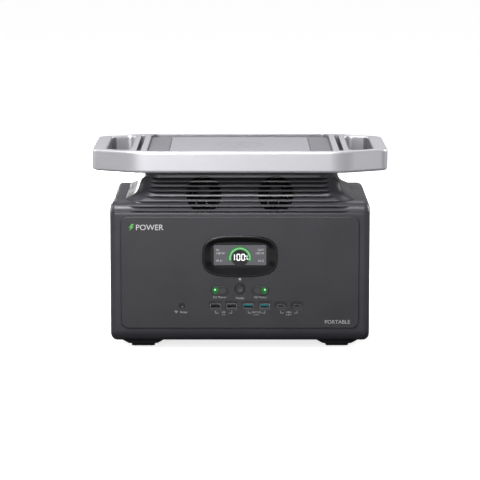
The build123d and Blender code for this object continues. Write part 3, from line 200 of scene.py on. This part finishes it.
def moulded(
    name, colour, roughness, grain=1500.0, depth=0.25, specular=0.5, edge_wear_and_highlight=1.35, groove=0.0
):
    """Moulded plastic with a spark-eroded grain, faint mottling, polished edges painted
    brighter and grooves painted darker.

    grain is the grain's fineness and depth its strength; wear is how much brighter
    the edges are painted, partly as worn edges and partly as a painted highlight, and
    groove how much duller and darker the grooves are, than the open faces; the
    darkening in the grooves is painted shade.
    """
    s = Shader(name)
    mottle = s.noise(22.0, 4.0)
    fine = s.noise(grain, 2.0, 0.6)
    cells = s.voronoi(grain * 0.6)
    tone = s.mix(s.spread(mottle, 0.0, 1.0), shade(colour, 0.93), shade(colour, 1.07))
    soft = s.soft_normal()
    edge = s.edges(soft)
    # Edges painted brighter: partly worn edges, partly a painted highlight on the louvre lips and
    # bevels.
    tone = s.mix(s.math("MULTIPLY", edge, 0.5), tone, shade(colour, edge_wear_and_highlight))
    speck = s.spread(fine, -0.04, 0.04)
    rough = s.math("ADD", s.spread(mottle, roughness - 0.04, roughness + 0.04), speck)
    # Painted shade: grooves painted darker, and made rougher, where the ambient-occlusion mask
    # finds them deep.
    if groove > 0:
        groove_shade_and_dull = s.math("MULTIPLY", s.hollows(GROOVE_REACH), groove)
        tone = s.mix(groove_shade_and_dull, tone, shade(colour, GROOVE_PAINTED_SHADE))
        rough = s.math("ADD", rough, s.math("MULTIPLY", groove_shade_and_dull, GROOVE_DULL))
    rough = s.math("SUBTRACT", rough, s.math("MULTIPLY", edge, 0.06))
    height = s.math("ADD", fine, s.math("MULTIPLY", cells, 0.6))
    s.set(Base_Color=tone, Roughness=rough, Normal=s.bump(height, depth, 0.00012, soft))
    s.set(Specular_IOR_Level=specular)
    return s.material


WELL_MARGIN = 5.0 * MM
WELL_DEPTH_MARGIN = 16.0 * MM
GRIP_OUTER_X = 193.0 * MM
GRIP_HALF_Y = 84.0 * MM
SLOT_REACH = 12.0 * MM
WELL_DROP = 0.4 * MM
GRIP_DROP = 2.5 * MM
RECESS_PAINTED_SHADE = 0.36


def painted_silver(name, colour, roughness):
    """Silver paint: metal flake under a satin coat, orange peel, and paler edges.

    The tray's well, its slots and the walls of its handle openings are masked off and
    painted darker: painted shade in these recesses.
    """
    s = Shader(name)
    flake = s.noise(4200.0, 2.0, 0.7)
    peel = s.noise(260.0, 2.0, 0.5)
    drift = s.noise(9.0, 2.0)
    tone = s.mix(s.spread(flake, 0.0, 1.0), shade(colour, 0.95), shade(colour, 1.05))
    tone = s.mix(s.spread(drift, 0.0, 0.25), tone, shade(colour, 0.94))
    soft = s.soft_normal()
    tone = s.mix(s.math("MULTIPLY", s.edges(soft), 0.35), tone, shade(colour, 1.2))
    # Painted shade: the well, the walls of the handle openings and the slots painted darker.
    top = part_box("tray_frame")[1].z
    well_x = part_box("floor_strips")[1].x + WELL_MARGIN
    well_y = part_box("charging_mat")[1].y + WELL_DEPTH_MARGIN
    well = s.inside(well_x, well_y, top - WELL_DROP)
    grips = s.inside(GRIP_OUTER_X, GRIP_HALF_Y, top - GRIP_DROP)
    recess_shade = s.math("MAXIMUM", s.math("MAXIMUM", well, grips), s.hollows(SLOT_REACH))
    tone = s.mix(recess_shade, tone, shade(colour, RECESS_PAINTED_SHADE))
    rough = s.spread(drift, roughness - 0.03, roughness + 0.03)
    rough = s.math("ADD", rough, s.spread(flake, -0.03, 0.03))
    height = s.math("ADD", peel, s.math("MULTIPLY", flake, 0.15))
    s.set(Base_Color=tone, Roughness=rough, Normal=s.bump(height, 0.10, 0.0001, soft))
    s.set(Metallic=0.6, Coat_Weight=0.15, Coat_Roughness=0.3)
    return s.material


def gloss(name, colour, roughness, coat):
    """Polished plastic with faint flow ripples and fine dust."""
    s = Shader(name)
    ripple = s.noise(35.0, 2.0)
    dust = s.noise(2600.0, 3.0, 0.8)
    tone = s.mix(s.spread(dust, 0.0, 0.25, 0.6, 0.8), colour, shade(colour, 2.2))
    rough = s.spread(ripple, roughness - 0.02, roughness + 0.03)
    rough = s.math("ADD", rough, s.spread(dust, 0.0, 0.05, 0.55, 0.8))
    s.set(Base_Color=tone, Roughness=rough, Normal=s.bump(ripple, 0.06, 0.0004))
    s.set(Coat_Weight=coat, Coat_Roughness=0.03)
    return s.material


def rubber(name, colour, roughness=0.75):
    """Matt rubber with a dusty bloom and a fine texture."""
    s = Shader(name)
    bloom = s.noise(60.0, 4.0)
    fine = s.noise(2400.0, 2.0, 0.7)
    tone = s.mix(s.spread(bloom, 0.0, 1.0), shade(colour, 0.96), shade(colour, 1.05))
    rough = s.spread(bloom, roughness - 0.06, roughness + 0.05)
    rough = s.math("ADD", rough, s.spread(fine, -0.03, 0.03))
    s.set(Base_Color=tone, Roughness=rough, Normal=s.bump(fine, 0.22, 0.0001))
    s.set(Specular_IOR_Level=0.35)
    return s.material


def metal(name, colour, roughness, stretch=(30.0, 30.0, 900.0)):
    """Drawn or plated metal with directional marks and slight tarnish."""
    s = Shader(name)
    marks = s.noise(1.0, 3.0, 0.6, s.stretched(stretch))
    tarnish = s.noise(70.0, 4.0)
    tone = s.mix(s.spread(tarnish, 0.0, 0.6), colour, shade(colour, 0.78))
    rough = s.spread(tarnish, roughness, roughness + 0.12)
    rough = s.math("ADD", rough, s.spread(marks, -0.05, 0.05))
    s.set(Base_Color=tone, Roughness=rough, Normal=s.bump(marks, 0.12, 0.0001))
    s.set(Metallic=1.0)
    return s.material


def circuit_board(name):
    """Green solder mask with copper tracks showing through as paler lines."""
    s = Shader(name)
    tracks = s.node("ShaderNodeTexBrick", Scale=220.0)
    s.put(tracks.inputs["Vector"], s.place)
    tracks.inputs["Mortar Size"].default_value = 0.03
    mottle = s.noise(90.0, 4.0)
    green = s.mix(s.spread(mottle, 0.0, 1.0), (0.01, 0.09, 0.035, 1), (0.015, 0.13, 0.05, 1))
    tone = s.mix(tracks.outputs["Fac"], green, (0.03, 0.2, 0.08, 1))
    rough = s.spread(mottle, 0.28, 0.42)
    s.set(Base_Color=tone, Roughness=rough, Normal=s.bump(tracks.outputs["Fac"], 0.2, 0.0001))
    s.set(Coat_Weight=0.3)
    return s.material


def sleeved(name, colour):
    """Shrink sleeve over a can: glossy, with fine vertical wrinkles."""
    s = Shader(name)
    wrinkles = s.noise(1.0, 3.0, 0.5, s.stretched((260.0, 260.0, 12.0)))
    drift = s.noise(30.0, 3.0)
    tone = s.mix(s.spread(drift, 0.0, 1.0), shade(colour, 0.85), shade(colour, 1.1))
    s.set(Base_Color=tone, Roughness=s.spread(wrinkles, 0.25, 0.4))
    s.set(Normal=s.bump(wrinkles, 0.25, 0.0002), Coat_Weight=0.2)
    return s.material


def wound_wire(name):
    """Enamelled copper wire laid in close turns."""
    s = Shader(name)
    wave = s.node("ShaderNodeTexWave", Scale=420.0, Distortion=0.6)
    s.put(wave.inputs["Vector"], s.place)
    turns = wave.outputs["Fac"]
    tone = s.mix(turns, (0.25, 0.07, 0.02, 1), (0.75, 0.32, 0.12, 1))
    s.set(Base_Color=tone, Roughness=s.spread(s.noise(300.0), 0.25, 0.42))
    s.set(Normal=s.bump(turns, 0.6, 0.0003), Metallic=0.8, Coat_Weight=0.4)
    return s.material


def lit(name, colour, strength, roughness=0.4):
    """A lit segment or light pipe whose brightness drifts a little across it."""
    s = Shader(name)
    drift = s.noise(180.0, 2.0)
    tone = s.mix(s.spread(drift, 0.0, 1.0), shade(colour, 0.85), shade(colour, 1.1))
    rough = s.spread(drift, roughness - 0.05, roughness + 0.05)
    s.set(Base_Color=tone, Emission_Color=tone, Roughness=rough, Emission_Strength=strength)
    return s.material


def ink(name, colour, roughness=0.5):
    """Pad-printed ink with slightly uneven cover."""
    s = Shader(name)
    cover = s.noise(900.0, 3.0)
    tone = s.mix(s.spread(cover, 0.0, 1.0), shade(colour, 0.86), colour)
    height = s.noise(3000.0, 2.0)
    s.set(Base_Color=tone, Roughness=s.spread(cover, roughness - 0.06, roughness + 0.08))
    s.set(Normal=s.bump(height, 0.15, 0.00005))
    return s.material


MATERIALS = {
    "housing": moulded(
        "housing_plastic", grey(0.047, 0.14), 0.33, 1500.0, 0.16, edge_wear_and_highlight=2.4, groove=1.0
    ),
    "panel": moulded("panel_plastic", grey(0.038, 0.12), 0.46, 1700.0, 0.16, edge_wear_and_highlight=2.2),
    "base": moulded("base_plastic", grey(0.03, 0.05), 0.62, 900.0, 0.35),
    "rubber": rubber("foot_rubber", grey(0.018)),
    "screw": metal("zinc_screw", grey(0.42, 0.03), 0.32),
    "tray": painted_silver("tray_silver", grey(0.66, 0.04), 0.38),
    "tray_inner": moulded("tray_inner_plastic", grey(0.195, 0.05), 0.6, 1300.0, 0.25),
    "mat": rubber("mat_silicone", grey(0.32, 0.06), 0.62),
    "bezel": gloss("bezel_black", grey(0.004, 0.15), 0.16, 0.2),
    "lens": gloss("screen_lens", grey(0.125, 0.1), 0.14, 0.5),
    "status": lit("status_lens", grey(0.4), 0.06, 0.3),
    "buttons": moulded("button_plastic", grey(0.028, 0.1), 0.42, 2200.0, 0.15),
    "power_buttons": moulded("power_button_plastic", grey(0.034, 0.1), 0.45, 2000.0, 0.15),
    "breaker": moulded("breaker_plastic", (0.42, 0.03, 0.025, 1.0), 0.38, 2000.0, 0.12),
    "port_metal": metal("nickel_shell", grey(0.62, 0.02), 0.26, (40.0, 500.0, 40.0)),
    "port_black": moulded("socket_plastic", grey(0.018), 0.45, 1800.0, 0.18),
    "port_blue": moulded("fast_port_plastic", (0.02, 0.28, 0.33, 1.0), 0.35, 1800.0, 0.1),
    "contacts": metal("brass_contact", (0.75, 0.55, 0.22, 1.0), 0.3, (400.0, 40.0, 40.0)),
    "board": circuit_board("solder_mask"),
    "module": metal("pressed_steel", grey(0.5, 0.02), 0.35, (500.0, 40.0, 40.0)),
    "switch": moulded("black_nylon", grey(0.007), 0.6, 1600.0, 0.2, 0.3),
    "cell": sleeved("cell_sleeve", (0.03, 0.12, 0.35, 1.0)),
    "holder": moulded("holder_plastic", grey(0.035), 0.58, 1100.0, 0.25),
    "busbar": metal("nickel_strip", grey(0.6, -0.05), 0.28, (600.0, 40.0, 40.0)),
    "cable": rubber("cable_silicone", (0.38, 0.015, 0.015, 1.0), 0.5),
    "heatsink": metal("extruded_aluminium", grey(0.66, 0.02), 0.36, (40.0, 8.0, 700.0)),
    "ferrite": moulded("sintered_ferrite", grey(0.035), 0.55, 1400.0, 0.35),
    "winding": wound_wire("copper_winding"),
    "capacitor": sleeved("capacitor_sleeve", (0.015, 0.02, 0.06, 1.0)),
}


def paint_cad_nodes():
    """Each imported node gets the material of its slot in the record."""
    for part in frame["record"]["subparts"]:
        node = NODES[part["node"]]
        node.data.materials.clear()
        node.data.materials.append(MATERIALS[part["material_slot"]])


# ---- stage -----------------------------------------------------------------------

FLOOR_SIZE = 12.0
FLOOR_LIFT = 0.75
FLOOR_NEAR = 0.04
FLOOR_FAR = 0.36
FLOOR_BAND = (0.2, 1.3)


def make_stage():
    """A pale floor, lifted to white where the camera sees it.

    To the object it is darker, and darkest close by, so it throws little light up.
    """
    mesh = bpy.data.meshes.new("floor")
    corners = [(x * FLOOR_SIZE, y * FLOOR_SIZE, 0) for x, y in ((-1, -1), (1, -1), (1, 1), (-1, 1))]
    mesh.from_pydata(corners, [], [(0, 1, 2, 3)])
    floor = bpy.data.objects.new("floor", mesh)
    bpy.context.scene.collection.objects.link(floor)
    s = Shader("studio_floor")
    haze = s.noise(1.5, 2.0)
    seen = s.tree.nodes.new("ShaderNodeLightPath").outputs["Is Camera Ray"]
    pale = s.mix(haze, grey(0.86), grey(0.9))
    away = s.tree.nodes.new("ShaderNodeVectorMath")
    away.operation = "LENGTH"
    s.put(away.inputs[0], s.place)
    far = s.spread(away.outputs["Value"], 0.0, 1.0, *FLOOR_BAND)
    dim = s.mix(far, grey(FLOOR_NEAR), grey(FLOOR_FAR))
    s.set(Base_Color=s.mix(seen, dim, pale), Roughness=s.spread(haze, 0.75, 0.85))
    s.set(Emission_Color=grey(1.0), Emission_Strength=s.math("MULTIPLY", seen, FLOOR_LIFT))
    mesh.materials.append(s.material)


def area_light(name, place, target, size, power):
    """A soft rectangular light the camera does not see; size in metres, power in watts."""
    data = bpy.data.lights.new(name, "AREA")
    data.shape = "RECTANGLE"
    data.size = size[0]
    data.size_y = size[1]
    data.energy = power
    light = bpy.data.objects.new(name, data)
    light.visible_camera = False
    bpy.context.scene.collection.objects.link(light)
    light.location = place
    light.rotation_euler = (Vector(target) - Vector(place)).to_track_quat("-Z", "Y").to_euler()


ROOM_LOW = 0.07
ROOM_HIGH = 0.30
ROOM_REAR = 0.22
ROOM_COLOUR = (0.97, 0.97, 1.0, 1.0)


def room_ramp(tree, axis, start, end, low, high):
    """Brightness rising from low to high as the direction's axis goes from start to end."""
    made = tree.nodes.new("ShaderNodeMapRange")
    tree.links.new(axis, made.inputs["Value"])
    for name, value in (("From Min", start), ("From Max", end), ("To Min", low), ("To Max", high)):
        made.inputs[name].default_value = value
    return made.outputs["Result"]


def make_world():
    """White to the camera; to the object a dim room, brighter overhead and behind."""
    world = bpy.data.worlds.new("studio")
    bpy.context.scene.world = world
    world.use_nodes = True
    tree = world.node_tree
    room = tree.nodes["Background"]
    axes = tree.nodes.new("ShaderNodeSeparateXYZ")
    tree.links.new(tree.nodes.new("ShaderNodeTexCoord").outputs["Generated"], axes.inputs[0])
    total = tree.nodes.new("ShaderNodeMath")
    climb = room_ramp(tree, axes.outputs["Z"], -0.1, 1.0, ROOM_LOW, ROOM_HIGH)
    depth = room_ramp(tree, axes.outputs["Y"], 0.2, 1.0, 0.0, ROOM_REAR)
    tree.links.new(climb, total.inputs[0])
    tree.links.new(depth, total.inputs[1])
    tree.links.new(total.outputs[0], room.inputs["Strength"])
    room.inputs["Color"].default_value = ROOM_COLOUR
    backdrop = tree.nodes.new("ShaderNodeBackground")
    backdrop.inputs["Color"].default_value = grey(1.0)
    mixed = tree.nodes.new("ShaderNodeMixShader")
    tree.links.new(tree.nodes.new("ShaderNodeLightPath").outputs["Is Camera Ray"], mixed.inputs[0])
    tree.links.new(room.outputs[0], mixed.inputs[1])
    tree.links.new(backdrop.outputs[0], mixed.inputs[2])
    tree.links.new(mixed.outputs[0], tree.nodes["World Output"].inputs["Surface"])


def make_lights():
    middle = (0.0, 0.0, 0.15)
    area_light("front_softbox", (-0.45, -1.9, 0.62), (0.0, 0.0, 0.27), (1.1, 0.5), 15.0)
    area_light("front_strip", (-0.4, -0.8, 1.8), (0.0, 0.0, 0.2), (1.3, 0.5), 38.0)
    area_light("left_strip", (-1.9, 0.7, 0.9), middle, (0.3, 1.1), 13.0)
    area_light("right_strip", (1.9, 0.9, 0.9), middle, (0.3, 1.1), 18.0)
    area_light("right_fill", (1.5, -0.85, 0.25), (0.1, 0.0, 0.27), (0.4, 0.5), 0.9)
    area_light("rear_softbox", (0.3, 1.5, 1.9), middle, (1.1, 0.7), 5.0)
    area_light("rear_low", (-0.5, 2.1, 0.11), (0.0, 0.0, 0.11), (1.2, 0.2), 14.0)
    bpy.context.scene.view_settings.view_transform = "Standard"


# ---- thin printed and lit pieces ---------------------------------------------------

INK = 0.06 * MM
UNDERLAY = 0.02 * MM
FRONT_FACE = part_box("front_panel")[0].y
REAR_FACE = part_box("rear_panel")[1].y
LENS_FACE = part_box("display_lens")[0].y
MAT_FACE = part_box("charging_mat")[1].z


def facing_front(y):
    """Drawing plane on a front face: u is +x, v is +z, ink builds towards -y."""
    return Matrix(((1, 0, 0, 0), (0, 0, -1, y), (0, 1, 0, 0), (0, 0, 0, 1)))


def facing_rear(y):
    """Drawing plane on a rear face: u is -x, v is +z, ink builds towards +y."""
    return Matrix(((-1, 0, 0, 0), (0, 0, 1, y), (0, 1, 0, 0), (0, 0, 0, 1)))


def facing_up(z):
    """Drawing plane on a top face: u is +x, v is +y, ink builds upwards."""
    return Matrix(((1, 0, 0, 0), (0, 1, 0, 0), (0, 0, 1, z), (0, 0, 0, 1)))


ON_PANEL = facing_front(FRONT_FACE)
ON_REAR = facing_rear(REAR_FACE)
ON_SCREEN = facing_front(LENS_FACE)
ON_MAT = facing_up(MAT_FACE)


def new_piece(name, mesh, material, body):
    """A finished piece that rides on a body and takes the material it is given."""
    piece = bpy.data.objects.new(name, mesh)
    bpy.context.scene.collection.objects.link(piece)
    mesh.materials.clear()
    mesh.materials.append(material)
    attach(piece, body)


def prism(bm, outline, thickness):
    """A closed prism on the drawing plane; outline is in millimetres."""
    low = [bm.verts.new((u * MM, v * MM, 0.0)) for u, v in outline]
    high = [bm.verts.new((u * MM, v * MM, thickness)) for u, v in outline]
    bm.faces.new(high)
    bm.faces.new(list(reversed(low)))
    count = len(outline)
    for i in range(count):
        j = (i + 1) % count
        bm.faces.new((low[i], low[j], high[j], high[i]))


def band(bm, middle, inner, outer, thickness, steps=72):
    """A closed flat ring on the drawing plane, sizes in millimetres."""
    rings = []
    for radius, height in ((inner, 0.0), (outer, 0.0), (outer, thickness), (inner, thickness)):
        ring = []
        for i in range(steps):
            angle = 2 * pi * i / steps
            u = (middle[0] + radius * cos(angle)) * MM
            v = (middle[1] + radius * sin(angle)) * MM
            ring.append(bm.verts.new((u, v, height)))
        rings.append(ring)
    for a in range(4):
        one, two = rings[a], rings[(a + 1) % 4]
        for i in range(steps):
            j = (i + 1) % steps
            bm.faces.new((one[i], one[j], two[j], two[i]))


def arc(middle, inner, outer, start, end, steps=3):
    """Outline of an arc band; angles in degrees, anticlockwise from +u."""
    angles = [radians(start + (end - start) * i / steps) for i in range(steps + 1)]
    out = [(middle[0] + outer * cos(a), middle[1] + outer * sin(a)) for a in angles]
    back = [(middle[0] + inner * cos(a), middle[1] + inner * sin(a)) for a in reversed(angles)]
    return out + back


def bar(middle, width, height, lean=0.0):
    """Outline of an upright bar; lean moves its top sideways."""
    u, v = middle
    half_u, half_v = width / 2, height / 2
    return [
        (u - half_u - lean / 2, v - half_v),
        (u + half_u - lean / 2, v - half_v),
        (u + half_u + lean / 2, v + half_v),
        (u - half_u + lean / 2, v + half_v),
    ]


def disc(middle, radius, steps=28):
    """Outline of a disc."""
    angles = [2 * pi * i / steps for i in range(steps)]
    return [(middle[0] + radius * cos(a), middle[1] + radius * sin(a)) for a in angles]


def print_shapes(
    name, outlines, plane, material, body="station", thickness=INK, rings=()
):
    """One piece made of flat prisms, and rings if any, on a drawing plane."""
    bm = bmesh.new()
    for outline in outlines:
        prism(bm, outline, thickness)
    for middle, inner, outer in rings:
        band(bm, middle, inner, outer, thickness)
    bmesh.ops.transform(bm, matrix=plane, verts=bm.verts)
    bmesh.ops.recalc_face_normals(bm, faces=bm.faces)
    mesh = bpy.data.meshes.new(name)
    bm.to_mesh(mesh)
    bm.free()
    new_piece(name, mesh, material, body)


def print_text(name, text, size, place, plane, material, align="CENTER"):
    """Raised lettering on a drawing plane; size and place are in millimetres."""
    curve = bpy.data.curves.new(name, "FONT")
    curve.body = text
    curve.size = size * MM
    curve.align_x = align
    curve.align_y = "CENTER"
    curve.extrude = INK / 2
    curve.resolution_u = 3
    source = bpy.data.objects.new(name + "_source", curve)
    mesh = bpy.data.meshes.new_from_object(source)
    bpy.data.objects.remove(source)
    mesh.transform(plane @ Matrix.Translation((place[0] * MM, place[1] * MM, INK / 2)))
    new_piece(name, mesh, material, "station")


WHITE_INK = ink("white_ink", grey(0.72))
PALE_INK = ink("pale_ink", grey(0.50))
DIM_INK = ink("dim_ink", grey(0.15))
MAT_INK = ink("mat_ink", grey(0.26, 0.05))
GREEN_INK = ink("green_ink", (0.13, 0.50, 0.12, 1.0))
SCREEN_GREEN = lit("screen_green", (0.16, 0.50, 0.19, 1.0), 0.55)
SCREEN_DIM_GREEN = lit("screen_dim_green", (0.02, 0.12, 0.03, 1.0), 0.5)
SCREEN_DARK = lit("screen_dark", grey(0.012), 0.1)
SCREEN_WHITE = lit("screen_white", grey(0.95), 0.8)
SCREEN_PALE = lit("screen_pale", grey(0.42), 0.35)
LED_GREEN = lit("led_green", (0.25, 0.85, 0.28, 1.0), 0.9, 0.3)
HALO_GREEN = lit("halo_green", (0.015, 0.11, 0.025, 1.0), 0.3, 0.3)

DIGIT_SEGMENTS = {"0": "abcdef", "1": "bc"}
SEGMENT_GAP = 0.25


def digit(figure, u, v, width, height, line):
    """Outlines of a seven-segment figure with its lower left corner at (u, v)."""
    half = height / 2
    across = width - line - 2 * SEGMENT_GAP
    up = half - line / 2 - 2 * SEGMENT_GAP
    high, low = v + half + up / 2 + SEGMENT_GAP, v + half - up / 2 - SEGMENT_GAP
    segments = {
        "a": bar((u + width / 2, v + height - line / 2), across, line),
        "b": bar((u + width - line / 2, high), line, up),
        "c": bar((u + width - line / 2, low), line, up),
        "d": bar((u + width / 2, v + line / 2), across, line),
        "e": bar((u + line / 2, low), line, up),
        "f": bar((u + line / 2, high), line, up),
    }
    return [segments[key] for key in DIGIT_SEGMENTS[figure]]


ARC_MIDDLE = (0.0, 130.5)
ARC_FIRST, ARC_LAST, ARC_COUNT = -12.0, 192.0, 24
ARC_GAP = 0.8
ARC_RADII = (12.9, 15.2)
GLOW_RADII = (12.1, 17.3)
GLOW_OVER = 5
GROUND_RADIUS = 11.9
READINGS = (
    ("IN", -34.0, 142.2, "LEFT"), ("100 W", -34.0, 137.4, "LEFT"), ("99 H", -34.0, 126.6, "LEFT"),
    ("OUT", 34.0, 142.2, "RIGHT"), ("100 W", 34.0, 137.4, "RIGHT"), ("20 C", 34.0, 126.6, "RIGHT"),
)
READING_SIZE = 4.4


def make_screen():
    """The lit display: a segmented charge arc, the charge figure and small readings."""
    step = (ARC_LAST - ARC_FIRST) / ARC_COUNT
    segments = []
    for i in range(ARC_COUNT):
        start = ARC_FIRST + i * step
        segments.append(arc(ARC_MIDDLE, *ARC_RADII, start + ARC_GAP, start + step - ARC_GAP))
    glow = [arc(ARC_MIDDLE, *GLOW_RADII, ARC_FIRST - GLOW_OVER, ARC_LAST + GLOW_OVER, 48)]
    ground = [disc(ARC_MIDDLE, GROUND_RADIUS, 48)]
    print_shapes("arc_glow", glow, ON_SCREEN, SCREEN_DIM_GREEN, thickness=UNDERLAY)
    print_shapes("arc_ground", ground, ON_SCREEN, SCREEN_DARK, thickness=UNDERLAY)
    print_shapes("charge_arc", segments, ON_SCREEN, SCREEN_GREEN)
    figures = []
    for figure, u in (("1", -12.6), ("0", -4.9), ("0", 1.6)):
        figures += digit(figure, u, 127.0, 5.4, 9.8, 1.25)
    figures += [disc((8.3, 133.6), 0.95), disc((10.9, 129.4), 0.95)]
    figures.append(bar((9.6, 131.5), 0.6, 6.6, 3.2))
    print_shapes("charge_figures", figures, ON_SCREEN, SCREEN_WHITE)
    for i, (text, u, v, align) in enumerate(READINGS):
        name, place = f"reading_{i}", (u, v)
        print_text(name, text, READING_SIZE, place, ON_SCREEN, SCREEN_PALE, align)


def power_symbol(middle, radius, line):
    """Outlines of the usual power symbol: a ring open at the top and a short bar."""
    ring = arc(middle, radius - line, radius, 125, 415, 26)
    return [ring, bar((middle[0], middle[1] + radius * 0.72), line, radius * 1.05)]


DISH_DEPTH = 0.5 * MM
ICON_THICKNESS = 0.24 * MM
LIGHT_THICKNESS = 0.1 * MM


def make_button_marks():
    """Lights and symbols that travel with the buttons."""
    for body, side in (("dc_button", -1), ("ac_button", 1)):
        plane = facing_front(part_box(body)[0].y)
        glow = [disc((side * 34.4, 84.8), 4.9, 36)]
        light = [disc((side * 35.2, 86.0), 1.3)]
        print_shapes(f"{body}_glow", glow, plane, HALO_GREEN, body, UNDERLAY)
        print_shapes(f"{body}_light", light, plane, LED_GREEN, body, LIGHT_THICKNESS)
        symbol = power_symbol((side * 24.8, 84.6), 2.8, 0.5)
        print_shapes(f"{body}_symbol", symbol, plane, DIM_INK, body)
    dished = facing_front(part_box("display_button")[0].y + DISH_DEPTH)
    u, v = 0.0, 86.9
    icon = [bar((u, v - 2.4), 2.2, 0.5), bar((u, v + 2.0), 4.6, 0.5), bar((u, v - 1.2), 4.6, 0.5)]
    icon += [bar((u + side * 2.2, v + 0.4), 0.5, 3.2) for side in (-1, 1)]
    name, body = "display_button_icon", "display_button"
    print_shapes(name, icon, dished, DIM_INK, body, ICON_THICKNESS)


BRACKET_REACH = 0.42
BOLT_POINTS = (
    (0.02, 0.5), (0.42, 0.5), (0.14, 0.1), (0.4, 0.1), (-0.28, -0.5), (-0.06, -0.06), (-0.34, -0.06)
)
PORT_LABELS = (
    ("usb_a", -23.3, "USB", "5 V"),
    ("fast_usb", 23.4, "FAST USB", "5-12 V"),
    ("usb_c", 69.2, "USB-C", "5-20 V"),
)


def bracket(u, v, half, drop, line):
    """Outlines of a bracket under a pair of ports, open in the middle for its label."""
    reach = half * BRACKET_REACH
    return [
        bar((u - half, v + drop / 2), line, drop),
        bar((u + half, v + drop / 2), line, drop),
        bar((u - half + reach / 2 - line / 2, v), reach, line),
        bar((u + half - reach / 2 + line / 2, v), reach, line),
    ]


def bolt(u, v, size):
    """Outline of a small lightning bolt, size high."""
    return [(u + a * size, v + b * size) for a, b in BOLT_POINTS]


def make_panel_marks():
    """Generic printing on the front panel."""
    print_shapes("bolt_mark", [bolt(-153.4, 174.8, 10.2)], ON_PANEL, GREEN_INK)
    print_text("power_word", "POWER", 11.3, (-147.2, 174.6), ON_PANEL, WHITE_INK, align="LEFT")
    print_text("portable_word", "PORTABLE", 7.6, (156.0, 39.4), ON_PANEL, PALE_INK, align="RIGHT")
    print_text("dc_word", "DC Power", 4.2, (-28.8, 75.2), ON_PANEL, PALE_INK)
    print_text("ac_word", "AC Power", 4.2, (28.8, 75.2), ON_PANEL, PALE_INK)
    print_text("display_word", "Display", 4.0, (0.0, 74.0), ON_PANEL, PALE_INK)
    print_text("reset_word", "Reset", 4.4, (-79.6, 53.6), ON_PANEL, PALE_INK)
    waves = [arc((-90.2, 51.9), r - 0.55, r, 45, 135, 8) for r in (1.4, 2.7, 4.0)]
    print_shapes("wave_mark", waves, ON_PANEL, PALE_INK)
    for name, u, word, volts in PORT_LABELS:
        print_shapes(f"{name}_bracket", bracket(u, 52.4, 11.7, 3.2, 0.5), ON_PANEL, PALE_INK)
        print_text(f"{name}_word", word, 3.1, (u, 53.6), ON_PANEL, PALE_INK)
        print_text(f"{name}_volts", volts, 3.1, (u, 50.0), ON_PANEL, PALE_INK)


RING_RADII = (34.0, 28.5, 14.5)
RING_LINE = 0.9


def make_mat_marks():
    """Charging rings and a generic bolt on the mat."""
    rings = [((0.0, 0.0), r, r + RING_LINE) for r in RING_RADII]
    print_shapes("charging_rings", [bolt(0.0, 0.0, 15.0)], ON_MAT, MAT_INK, rings=rings)


def make_rear_marks():
    """Generic printing on the rear panel; u runs the other way there, so x is negated."""
    words = (
        ("rear_ac_out", "AC OUT", -106.0, 166.0), ("rear_ac_in", "AC IN", -8.0, 105.5),
        ("rear_solar", "SOLAR IN", -8.0, 155.5), ("rear_dc", "DC OUT", 104.0, 79.0),
        ("rear_car", "12 V", 104.0, 104.5), ("rear_breaker", "RESET", 44.0, 73.5),
    )
    for name, word, x, z in words:
        print_text(name, word, 5.0, (-x, z), ON_REAR, PALE_INK)


make_camera()
make_world()
make_lights()
make_stage()
paint_cad_nodes()
make_screen()
make_button_marks()
make_panel_marks()
make_mat_marks()
make_rear_marks()
